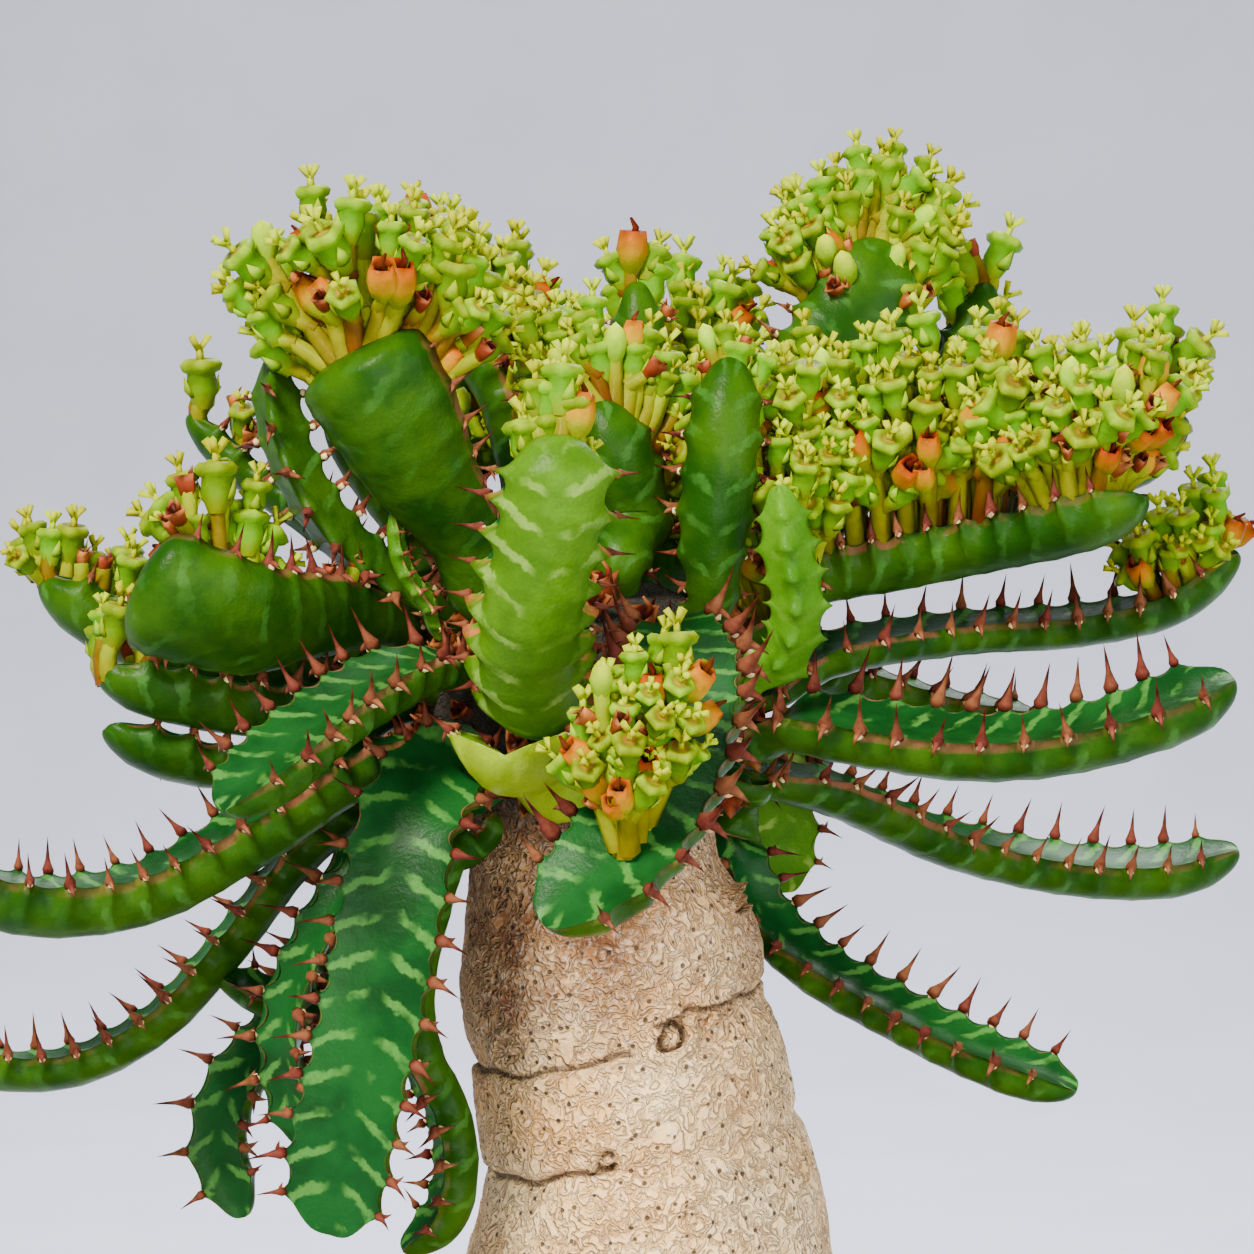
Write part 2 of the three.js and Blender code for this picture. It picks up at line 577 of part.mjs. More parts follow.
// The needles on an arm's teeth
function armSpines(rail) {
  const { arm, section } = rail;
  if (arm.spineless) {
    return [];
  }
  const lift = arm.lift ?? 0.7;
  const size = arm.small ? SMALL_ARM : 1;
  const spines = [];
  for (let ring = 3; ring < rail.rings; ring += 2) {
    const { along, across, up } = rail.frameAt(ring / rail.rings);
    section.ridges.forEach((corner) => {
      const side = Math.sign(section.outline[corner][0]);
      const direction = new THREE.Vector3()
        .addScaledVector(across, side * (1 - lift))
        .addScaledVector(up, side === 0 ? -1 : lift)
        .addScaledVector(along, SPINE_LEAN)
        .normalize();
      const foot = skinPoint(rail, ring, corner)
        .addScaledVector(across, -side * size * SPINE_INSET)
        .addScaledVector(along, side * size * SPINE_STEP);
      const length = size * (SPINE_LENGTH + SPINE_SUNK);
      const needle = new THREE.ConeGeometry(size * SPINE_RADIUS, length, 3);
      needle.translate(0, length / 2 - size * SPINE_SUNK, 0);
      spines.push([() => planted(needle, foot, direction)]);
    });
  }
  return spines;
}

// One flower: its funnel and peak as a turned shape that stands out by a given length
function bloom(foot, direction, length) {
  const outline = [
    [0, -BLOOM_SUNK],
    [CUP_RADIUS, length - CUP_RIM],
    [0, length + STYLE_HEIGHT],
  ].map(([radius, height]) => new THREE.Vector2(radius, height));
  return planted(new THREE.LatheGeometry(outline, BLOOM_SIDES), foot, direction);
}

// A place on the flat face along a head, at a share of the way out from the middle to an
// edge, with the way its stalks stand and their height
function headStem(rail, head, place, share) {
  const { arm, section } = rail;
  const { centre, along, across, up, fullness } = rail.frameAt(lerp(head.from, head.to, place));
  const [, middleDepth] = section.outline[0];
  const [, edgeDepth] = section.outline[1];
  const faceDepth = lerp(middleDepth, edgeDepth, Math.abs(share)) * arm.depth;
  const reach = (arm.width / 2 - BLOOM_INSET) * (head.spread ?? 1);
  const foot = centre.clone()
    .addScaledVector(across, share * reach * fullness)
    .addScaledVector(up, faceDepth * fullness);
  const stem = new THREE.Vector3(0, 0, 1)
    .addScaledVector(up, HEAD_UPRIGHT)
    .addScaledVector(across, HEAD_LEAN * share)
    .addScaledVector(along, (head.fan ?? HEAD_FAN) * (place - 0.5))
    .normalize();
  const tall = head.tall * lerp(1, HEAD_SHORT_ROW, share * share);
  return { centre, along, across, foot, stem, tall, fullness };
}

// The tries at one flower: each leans away from its stem more than the last
function bloomTries(foot, stem, length, count) {
  return Array.from({ length: BLOOM_TRIES }, (unused, go) => {
    const seed = count * BLOOM_TRIES + go;
    const restless = BLOOM_RESTLESS * Math.sqrt(go + 1);
    const sway = vector([draw(seed, 3), draw(seed, 4), draw(seed, 5)]).subScalar(0.5);
    const direction = stem.clone().addScaledVector(sway, 2 * restless).normalize();
    return () => bloom(foot, direction, length * lerp(0.88, 1.12, draw(count, 2)));
  });
}

const hasCore = (head) => head.tall > CORE_FROM;

// The core of a tall head, from inside the arm up to where the flowers stand out of it
function headCore(rail, head) {
  const sides = CORE_SHARES.length + 2;
  const rings = Math.max(2, Math.round(((head.to - head.from) * rail.length) / CORE_PITCH));
  const geometry = new THREE.CylinderGeometry(1, 1, 1, sides, rings);
  const spots = geometry.getAttribute('position');
  for (let i = 0; i < spots.count; i += 1) {
    const x = spots.getX(i);
    const z = spots.getZ(i);
    const ring = Math.round((spots.getY(i) + 0.5) * rings);
    const corner = (Math.round((Math.atan2(x, z) / (2 * Math.PI)) * sides) + sides) % sides;
    const isAxis = Math.hypot(x, z) < 0.5;
    const isBase = corner >= CORE_SHARES.length;
    const share = isAxis || isBase ? 0 : CORE_SHARES[corner];
    const { centre, across, foot, stem, tall, fullness } = headStem(rail, head, ring / rings, share);
    const end = ring === 0 || ring === rings ? CORE_END : 1;
    const spot = isBase ? centre : foot;
    if (isBase && !isAxis) {
      const side = Math.sign(CORE_SHARES.length + 0.5 - corner) * (head.spread ?? 1);
      spot.addScaledVector(across, side * (rail.arm.width / 2 - CORE_INSET) * fullness);
    } else {
      spot.addScaledVector(stem, (isAxis ? 0.5 : 1) * Math.max(0.5, end * (tall - CORE_REACH)));
    }
    spots.setXYZ(i, spot.x, spot.y, spot.z);
  }
  return geometry;
}

// The flowers that stand out of a core's facets
function coreBlooms(geometry) {
  const spots = geometry.toNonIndexed().getAttribute('position');
  const blooms = [];
  for (let i = 0; i < spots.count; i += 3) {
    const facet = new THREE.Triangle();
    facet.setFromAttributeAndIndices(spots, i, i + 1, i + 2);
    const normal = facet.getNormal(new THREE.Vector3());
    if (facet.getArea() > FACET_SMALLEST && normal.z > FACET_LOWEST) {
      const stem = normal.multiplyScalar(FACET_LEAN).add(new THREE.Vector3(0, 0, 1)).normalize();
      blooms.push(bloomTries(facet.getMidpoint(new THREE.Vector3()), stem, CORE_REACH, blooms.length));
    }
  }
  return blooms;
}

// The flowers of an arm
function armBlooms(rail) {
  const blooms = [];
  (rail.arm.heads ?? []).forEach((head) => {
    if (hasCore(head)) {
      blooms.push(...coreBlooms(headCore(rail, head)));
      return;
    }
    for (let row = 0; row < head.rows; row += 1) {
      const share = head.rows > 1 ? (2 * row) / (head.rows - 1) - 1 : 0;
      for (let k = 0; k < head.count; k += 1) {
        const { foot, stem, tall } = headStem(rail, head, (k + 0.5) / head.count, share);
        blooms.push(bloomTries(foot, stem, tall, blooms.length));
      }
    }
  });
  return blooms;
}

// Whether two boxes come within the gap of each other
function boxesMeet(one, other) {
  return [0, 1, 2].every((axis) => one.min[axis] - GAP < other.max[axis]
    && other.min[axis] - GAP < one.max[axis]);
}

// The largest of a solid's separate bodies
function mainBody(solid) {
  return solid.decompose().reduce((best, piece) => (piece.volume() > best.volume() ? piece : best));
}

// Every arm's solid. Arms that crowd each other are pressed in by those listed before
// them, and a spine or flower takes its first try that runs into nothing, or is left off.
function armSolids(caudexRoom) {
  const rails = ARMS.map(armRail);
  const rooms = [];
  const bodies = rails.map((rail) => {
    const own = armBody(rail);
    const near = rooms.filter((room) => boxesMeet(room.boundingBox(), own.boundingBox()));
    rooms.push(armBody(rail, GAP));
    return mainBody(near.reduce((rest, room) => rest.subtract(room), own.subtract(caudexRoom)));
  });
  const placed = [{ solid: caudexRoom, owner: -1, isBody: true, room: caudexRoom }];
  bodies.forEach((solid, owner) => placed.push({ solid, owner, isBody: true, room: rooms[owner] }));
  const meets = (one, other) => boxesMeet(one.boundingBox(), other.boundingBox());
  const grown = bodies.map((body, owner) => {
    const cores = (ARMS[owner].heads ?? []).filter(hasCore).map((head) => {
      const core = solidFrom(headCore(rails[owner], head));
      const others = placed.filter((other) => other.owner !== owner && meets(other.solid, core));
      return mainBody(others.reduce((rest, other) => rest.subtract(other.room), core));
    });
    cores.forEach((solid) => placed.push({ solid, owner, isBody: true, room: solid }));
    return [body, ...cores];
  });
  const isClear = (solid, owner) => placed.every((other) => {
    const isOwn = other.owner === owner;
    return (isOwn && other.isBody) || !meets(solid, other.solid)
      || solid.minGap(other.solid, GAP) >= (isOwn ? BLOOM_CLEAR : GAP);
  });
  [armBlooms, armSpines].forEach((grow) => {
    rails.forEach((rail, owner) => {
      grow(rail).forEach((tries) => {
        const solid = tries.map((attempt) => attempt()).find((each) => isClear(each, owner));
        if (solid) {
          placed.push({ solid, owner, isBody: false });
          grown[owner].push(solid);
        }
      });
    });
  });
  return grown.map((pieces) => mainBody(Manifold.union(pieces)).asOriginal().simplify(SHORTEST_EDGE));
}

const plant = new THREE.Group();
const caudexRoom = caudexSolid(GAP);
plant.add(meshFrom(potSolid(), 'pot', 'clay'));
plant.add(meshFrom(soilSolid(caudexRoom), 'soil', 'soil'));
plant.add(meshFrom(caudexSolid(), 'caudex', 'bark'));
armSolids(caudexRoom).forEach((solid, index) => {
  const { name, young } = ARMS[index];
  plant.add(meshFrom(solid, name, young ? 'young' : 'arm'));
});

export default plant;
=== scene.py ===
"""A potted Euphorbia stellata: clay pot, gritty soil, wrinkled caudex and forty-five toothed arms.

Lengths are millimetres until a finished mesh is scaled to metres. +Z is up and the front
looks towards -Y.
"""

import json
import logging
import math
import random
from bisect import bisect_left
from dataclasses import dataclass
from enum import Enum
from functools import partial
from typing import Callable, Iterable, Sequence, TypeVar

import bpy
from mathutils import Matrix, Vector

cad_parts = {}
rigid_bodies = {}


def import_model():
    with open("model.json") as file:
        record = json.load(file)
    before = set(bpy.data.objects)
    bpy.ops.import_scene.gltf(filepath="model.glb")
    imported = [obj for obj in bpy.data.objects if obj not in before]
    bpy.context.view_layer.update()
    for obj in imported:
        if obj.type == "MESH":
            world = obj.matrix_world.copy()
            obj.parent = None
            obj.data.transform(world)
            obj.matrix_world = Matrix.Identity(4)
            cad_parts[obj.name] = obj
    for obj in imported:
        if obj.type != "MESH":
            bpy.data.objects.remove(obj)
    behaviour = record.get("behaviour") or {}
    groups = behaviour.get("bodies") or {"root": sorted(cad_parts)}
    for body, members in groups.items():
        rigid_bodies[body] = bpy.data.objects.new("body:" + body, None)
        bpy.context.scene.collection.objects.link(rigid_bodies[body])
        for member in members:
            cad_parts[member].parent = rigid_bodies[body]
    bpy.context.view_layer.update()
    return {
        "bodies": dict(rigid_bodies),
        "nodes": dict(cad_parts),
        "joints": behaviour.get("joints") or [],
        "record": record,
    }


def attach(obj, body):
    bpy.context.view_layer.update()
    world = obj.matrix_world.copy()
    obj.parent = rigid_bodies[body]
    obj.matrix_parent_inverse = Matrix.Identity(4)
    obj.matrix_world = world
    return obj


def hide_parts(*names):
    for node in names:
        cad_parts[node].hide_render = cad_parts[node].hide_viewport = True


LOG = logging.getLogger("euphorbia")

Colour = tuple[float, float, float, float]
Socket = bpy.types.NodeSocket
Tree = bpy.types.NodeTree
Material = bpy.types.Material
Mesh = bpy.types.Mesh
Adder = Callable[..., Socket]
Place = tuple[float, float, float]
Amount = TypeVar("Amount", float, Vector)

MILLIMETRE = 0.001
# Where the camera and the lamps point, in metres
VIEW_TARGET = (-0.0026, 0.0, 0.192)

# Kinds of node, and settings that many nodes share
MATH, VECTOR, MIX = "ShaderNodeMath", "ShaderNodeVectorMath", "ShaderNodeMix"
NOISE, CELLS, BUMP = "ShaderNodeTexNoise", "ShaderNodeTexVoronoi", "ShaderNodeBump"
RANGE, PAINT = "ShaderNodeMapRange", "ShaderNodeAttribute"
NAMED = "GeometryNodeInputNamedAttribute"
PLUS, MINUS = {"operation": "ADD"}, {"operation": "SUBTRACT"}
TIMES, TIMES_PLUS = {"operation": "MULTIPLY"}, {"operation": "MULTIPLY_ADD"}
SMOOTH = {"interpolation_type": "SMOOTHSTEP"}
COLOUR = {"data_type": "RGBA"}
ROUGH = 0.6

X_AXIS, Y_AXIS = Vector((1, 0, 0)), Vector((0, 1, 0))

# Seats, arms and clearance, as the solid part has them
CLEARANCE = 0.3
CROWN_MIDDLE = 181.0
CROWN_ROUNDNESS = 15.0
SEAT_DEPTH = 4.0
SEAT_STANDOFF = 3.5
TOOTH_PITCH = 8.6
TOOTH_CUT = 1.7
NECK_LENGTH = 15.0
NECK_WIDTH = 0.6
TIP_LENGTH = 8.0
SMALL_ARM = 0.5
SPAN_SAMPLES = 30
# Height of the toothed edges and of the trough between them, as shares of an arm's depth
EDGE_HEIGHT = 0.36
TROUGH_HEIGHT = 0.14

# Caudex outline from the tap root to the crown: height, radius, sideways lean
CAUDEX_OUTLINE = (
    (22, 7, 0), (34, 14, 0), (50, 23, 0), (66, 28, 0), (80, 29.5, 0), (94, 27.5, 0),
    (108, 24, 0), (120, 21.2, 0), (127, 19.6, -0.4), (131, 18.5, -0.9), (132.5, 17.9, -1.1),
    (134, 18.2, -1.3), (139, 18.0, -2.1), (144, 17.5, -3.2), (146, 16.8, -3.5),
    (148, 17.1, -3.9), (154, 17.2, -4.7), (160, 15.8, -5.5), (166, 14.4, -6.4),
    (172, 14.8, -6.8), (178, 17.2, -6.8), (184, 18.6, -6.8), (190, 17.4, -6.8),
    (194, 13.5, -6.8), (197, 7.5, -6.8),
)


# ---- Small tools ----


def linear(code: str) -> Colour:
    """Turns an sRGB hex value into a linear colour.

    Args:
        code: Six hex digits with a leading hash.

    Returns:
        Linear red, green and blue, and an alpha of one.
    """
    shares = [int(code[i:i + 2], 16) / 255 for i in (1, 3, 5)]
    made = [s / 12.92 if s <= 0.04045 else ((s + 0.055) / 1.055) ** 2.4 for s in shares]
    return (made[0], made[1], made[2], 1.0)


def add_node(tree: Tree, kind: str, *values: object, **settings: object) -> Socket:
    """Adds a node with its settings, values and links.

    Args:
        tree: The tree that gets the node.
        kind: The node's type name.
        *values: Value or linked socket for each input in use, from the first on.
        **settings: The node's own properties, and inputs by name, with a capital and _ for a
            space.

    Returns:
        The node's first output in use, from which the node itself can be reached.
    """
    node = tree.nodes.new(kind)
    for key, value in settings.items():
        if key[0].islower():
            setattr(node, key, value)
    in_use = [s for s in node.inputs if s.enabled]
    chosen = list(zip(in_use, values))
    for key, value in settings.items():
        if not key[0].islower():
            chosen.append((next(s for s in in_use if s.name == key.replace("_", " ")), value))
    for socket, value in chosen:
        if isinstance(value, Socket):
            tree.links.new(value, socket)
        else:
            socket.default_value = value
    return next((s for s in node.outputs if s.enabled), None)


def per_metre(size: float) -> float:
    """How many features of a size in millimetres fit in a metre."""
    return 1 / (size * MILLIMETRE)


def other(socket: Socket, name: str) -> Socket:
    """The output of a socket's node that has another name."""
    return next(s for s in socket.node.outputs if s.name == name and s.enabled)


def lerp(low: float, high: float, share: float) -> float:
    """The value at a share of the way from low to high."""
    return low + (high - low) * share


def smoothstep(value: float, low: float, high: float) -> float:
    """0 below low, 1 above high and a smooth rise between them."""
    share = min(1.0, max(0.0, (value - low) / (high - low)))
    return share * share * (3 - 2 * share)


def hermite(share: float, ends: tuple[Amount, Amount],
            slopes: tuple[Amount, Amount]) -> Amount:
    """A point of a smooth curve between two ends.

    Args:
        share: Share of the way from the first end to the second.
        ends: Where the curve starts and ends.
        slopes: How fast it leaves the first end and comes to the second.

    Returns:
        The curve's value there.
    """
    square, cube = share ** 2, share ** 3
    return ((2 * cube - 3 * square + 1) * ends[0] + (cube - 2 * square + share) * slopes[0]
            + (3 * square - 2 * cube) * ends[1] + (cube - square) * slopes[1])


def outline_at(height: float, column: int) -> float:
    """The caudex outline's smooth value at a height.

    Args:
        height: Height above the surface that the pot stands on.
        column: 1 for the radius and 2 for the lean.

    Returns:
        The value there, in millimetres.
    """
    rows = CAUDEX_OUTLINE
    last = len(rows) - 1
    low = max(0, min(last - 1, sum(row[0] <= height for row in rows) - 1))
    span = rows[low + 1][0] - rows[low][0]
    slopes = []
    for i in (low, low + 1):
        before, after = rows[max(0, i - 1)], rows[min(last, i + 1)]
        slopes.append(span * (after[column] - before[column]) / (after[0] - before[0]))
    share = min(1.0, max(0.0, (height - rows[low][0]) / span))
    return hermite(share, (rows[low][column], rows[low + 1][column]), (slopes[0], slopes[1]))


def caudex_skin(turn: float, height: float) -> tuple[Vector, Vector, Vector]:
    """A place on the caudex's smooth outline.

    Args:
        turn: Angle around the caudex, from the right.
        height: Height above the surface that the pot stands on.

    Returns:
        The place, the level direction away from the caudex there, and the crown's own.
    """
    outward = Vector((math.cos(turn), math.sin(turn), 0))
    rise = Vector((0, 0, (height - CROWN_MIDDLE) / CROWN_ROUNDNESS))
    place = outward * outline_at(height, 1) + Vector((outline_at(height, 2), 0, height))
    return place, outward, outward + rise


# ---- Meshes ----


class Shape:
    """A mesh under construction, with a painted colour at each point."""

    # How much darker a hollow between two lobes is, against its depth
    LOBE_SHADE = 2.2

    def __init__(self) -> None:
        """Starts with no points and no faces."""
        self.points: list[Vector] = []
        self.faces: list[tuple[int, ...]] = []
        self.paint: list[Colour] = []

    def ring(self, centre: Vector, radius: float, x_axis: Vector, y_axis: Vector, sides: int,
             colour: Colour, lobes: float = 0.0) -> list[int]:
        """Adds a ring of points, or one point where the radius is nothing.

        Args:
            centre: The ring's middle.
            radius: Its radius.
            x_axis: Unit vector to the first point.
            y_axis: Unit vector a quarter turn on.
            sides: Number of points.
            colour: The ring's colour.
            lobes: How much every second point stands back, as a share of the radius.

        Returns:
            The indices of the new points.
        """
        if radius < 1e-6:
            self.points.append(centre.copy())
            self.paint.append(colour)
            return [len(self.points) - 1]
        start = len(self.points)
        for i in range(sides):
            turn = 2 * math.pi * i / sides
            reach = radius * (1 - lobes * (i % 2))
            way = x_axis * math.cos(turn) + y_axis * math.sin(turn)
            self.points.append(centre + reach * way)
            dim = 1 - self.LOBE_SHADE * lobes * (i % 2)
            self.paint.append((colour[0] * dim, colour[1] * dim, colour[2] * dim, 1.0))
        return list(range(start, start + sides))

    def bridge(self, rings: Sequence[Sequence[int]], sides: int) -> None:
        """Adds the faces between rings that follow each other.

        Args:
            rings: The rings' points, or one point for a closed end.
            sides: Number of points in a ring.
        """
        for low, high in zip(rings, rings[1:]):
            for i in range(sides):
                j = (i + 1) % sides
                face = (low[i % len(low)], low[j % len(low)],
                        high[j % len(high)], high[i % len(high)])
                self.faces.append(tuple(dict.fromkeys(face)))

    def tube(self, rows: Sequence[tuple[Sequence[float], float, str]], sides: int) -> None:
        """Adds a tube along a path, with open ends closed by a face.

        Args:
            rows: Middle point, radius and colour of each ring.
            sides: Points around.
        """
        rings = []
        path = [Vector(row[0]) for row in rows]
        side = Vector((0.37, 1, 0.13))
        for i, (_, radius, code) in enumerate(rows):
            along = path[min(i + 1, len(path) - 1)] - path[max(i - 1, 0)]
            x_axis = side.cross(along).normalized()
            y_axis = along.cross(x_axis).normalized()
            rings.append(self.ring(path[i], radius, x_axis, y_axis, sides, linear(code)))
        self.bridge(rings, sides)
        if len(rings[0]) > 1:
            self.faces.append(tuple(reversed(rings[0])))
        if len(rings[-1]) > 1:
            self.faces.append(tuple(rings[-1]))

    def turned(self, outline: Sequence[tuple[float, float, str]], sides: int,
               lobes: Sequence[float] = ()) -> None:
        """Adds a turned shape.

        Args:
            outline: Height, radius and colour from the foot up and over to the end.
            sides: Points around.
            lobes: How much every second point stands back in each ring.
        """
        rings = []
        for i, (height, radius, code) in enumerate(outline):
            rings.append(self.ring(Vector((0, 0, height)), radius, X_AXIS, Y_AXIS, sides,
                                   linear(code), lobes[i] if lobes else 0.0))
        self.bridge(rings, sides)

    def mesh(self, name: str) -> Mesh:
        """The finished mesh, with its colours in the attribute "paint".

        Args:
            name: Its name.

        Returns:
            The mesh.
        """
        made = bpy.data.meshes.new(name)
        made.from_pydata([tuple(p) for p in self.points], [], self.faces)
        layer = made.attributes.new("paint", "FLOAT_COLOR", "POINT")
        layer.data.foreach_set("color", [value for colour in self.paint for value in colour])
        made.update()
        return made


def points_mesh(name: str, places: Sequence[Vector], vectors: dict[str, Sequence[Vector]],
                values: dict[str, Sequence[float]],
                edges: Sequence[tuple[int, int]] = ()) -> Mesh:
    """A mesh of loose or joined points for a tree to work on.

    Args:
        name: Its name.
        places: Where the points are.
        vectors: A vector for each point, by attribute name.
        values: A number for each point, by attribute name.
        edges: Pairs of joined points.

    Returns:
        The mesh with its attributes.
    """
    made = bpy.data.meshes.new(name)
    made.from_pydata([tuple(p) for p in places], list(edges), [])
    for key, rows in vectors.items():
        layer = made.attributes.new(key, "FLOAT_VECTOR", "POINT")
        layer.data.foreach_set("vector", [value for row in rows for value in row])
    for key, row in values.items():
        made.attributes.new(key, "FLOAT", "POINT").data.foreach_set("value", list(row))
    made.update()
    return made


def placed(name: str, data: bpy.types.ID) -> bpy.types.Object:
    """A new object that holds the data, linked to the scene.

    Args:
        name: Its name.
        data: Its mesh, light or camera.

    Returns:
        The object.
    """
    made = bpy.data.objects.new(name, data)
    bpy.context.collection.objects.link(made)
    return made


def grown(tree: Tree, mesh: Mesh, values: dict[str, object]) -> Mesh:
    """Runs a tree on a mesh and gives the plain result.

    Args:
        tree: The geometry tree.
        mesh: What it works on.
        values: Its inputs, by name.

    Returns:
        The evaluated mesh, with nothing live on it.
    """
    host = placed(mesh.name, mesh)
    modifier = host.modifiers.new(tree.name, "NODES")
    modifier.node_group = tree
    for item in tree.interface.items_tree:
        if item.item_type == "SOCKET" and item.in_out == "INPUT" and item.name in values:
            modifier[item.identifier] = values[item.name]
    graph = bpy.context.evaluated_depsgraph_get()
    made = bpy.data.meshes.new_from_object(host.evaluated_get(graph), depsgraph=graph,
                                           preserve_all_data_layers=True)
    bpy.data.objects.remove(host)
    return made


def piece(name: str, meshes: Sequence[Mesh], node: str) -> bpy.types.Object:
    """Joins meshes in millimetres to one finished piece that stands for a solid of the part.

    Args:
        name: The piece's name.
        meshes: What it is made of.
        node: The solid that it stands for.

    Returns:
        The piece, at the origin and riding on the part's one body.
    """
    objects = [placed(name, mesh) for mesh in meshes if mesh.polygons]
    if len(objects) > 1:
        with bpy.context.temp_override(active_object=objects[0], object=objects[0],
                                       selected_objects=objects,
                                       selected_editable_objects=objects):
            bpy.ops.object.join()
    made = objects[0]
    made.name = name
    made.data.name = name
    made.data.transform(Matrix.Scale(MILLIMETRE, 4))
    made.data.update()
    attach(made, "root")
    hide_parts(node)
    LOG.info("%s: %d faces for %s", name, len(made.data.polygons), node)
    return made


def new_tree(name: str, sockets: dict[str, str]) -> tuple[Tree, Adder, Socket]:
    """A geometry tree with named inputs.

    Args:
        name: Its name.
        sockets: The socket type of each input after the geometry, by name.

    Returns:
        The tree, what adds nodes to it and the first output of its input node.
    """
    tree = bpy.data.node_groups.new(name, "GeometryNodeTree")
    tree.interface.new_socket("Geometry", in_out="INPUT", socket_type="NodeSocketGeometry")
    tree.interface.new_socket("Geometry", in_out="OUTPUT", socket_type="NodeSocketGeometry")
    for key, kind in sockets.items():
        tree.interface.new_socket(key, in_out="INPUT", socket_type=kind)
    add = partial(add_node, tree)
    return tree, add, add("NodeGroupInput")


def end_tree(add: Adder, geometry: Socket, material: Socket) -> None:
    """Ends a tree in smooth real geometry that carries a material.

    Args:
        add: What adds nodes to the tree.
        geometry: What the tree has made.
        material: The material's socket.
    """
    real = add("GeometryNodeRealizeInstances", Geometry=geometry)
    smooth = add("GeometryNodeSetShadeSmooth", Geometry=real)
    dressed = add("GeometryNodeSetMaterial", Geometry=smooth, Material=material)
    add("NodeGroupOutput", Geometry=dressed)


# ---- Finishes ----


def surface(name: str, roughness: float,
            **sockets: object) -> tuple[Adder, Socket, bpy.types.Node]:
    """A new material with a shader that has its own set values.

    Args:
        name: What the real surface is.
        roughness: The shader's roughness.
        **sockets: Other values, with _ for a space in a socket's name.

    Returns:
        What adds nodes to it, its Object coordinates and its shader node.
    """
    made = bpy.data.materials.new(name)
    made.use_nodes = True
    tree = made.node_tree
    shader = tree.nodes["Principled BSDF"]
    shader.inputs["Roughness"].default_value = roughness
    for key, value in sockets.items():
        shader.inputs[key.replace("_", " ")].default_value = value
    add = partial(add_node, tree)
    return add, other(add("ShaderNodeTexCoord"), "Object"), shader


def coat(shader: bpy.types.Node, colour: Socket, bump: Socket | None = None) -> Material:
    """Gives a shader its colour and relief.

    Args:
        shader: The material's shader node.
        colour: What colours it.
        bump: What bumps it.

    Returns:
        The finished material.
    """
    tree = shader.id_data
    tree.links.new(colour, shader.inputs["Base Color"])
    if bump:
        tree.links.new(bump, shader.inputs["Normal"])
    return next(m for m in bpy.data.materials if m.node_tree == tree)


def patches(add: Adder, here: Socket, size: float, fade: tuple[float, float],
            shares: tuple[float, float] = (0, 1), detail: float = 3) -> Socket:
    """A mask of soft uneven patches.

    Args:
        add: What adds nodes to the tree.
        here: Coordinates of the place.
        size: Width of the patches in millimetres.
        fade: The noise values at which a patch starts and is whole.
        shares: The mask outside the patches and in them.
        detail: How many finer layers the patches have.

    Returns:
        The mask.
    """
    noise = add(NOISE, here, per_metre(size), detail, ROUGH)
    return add(RANGE, noise, *fade, *shares, **SMOOTH)


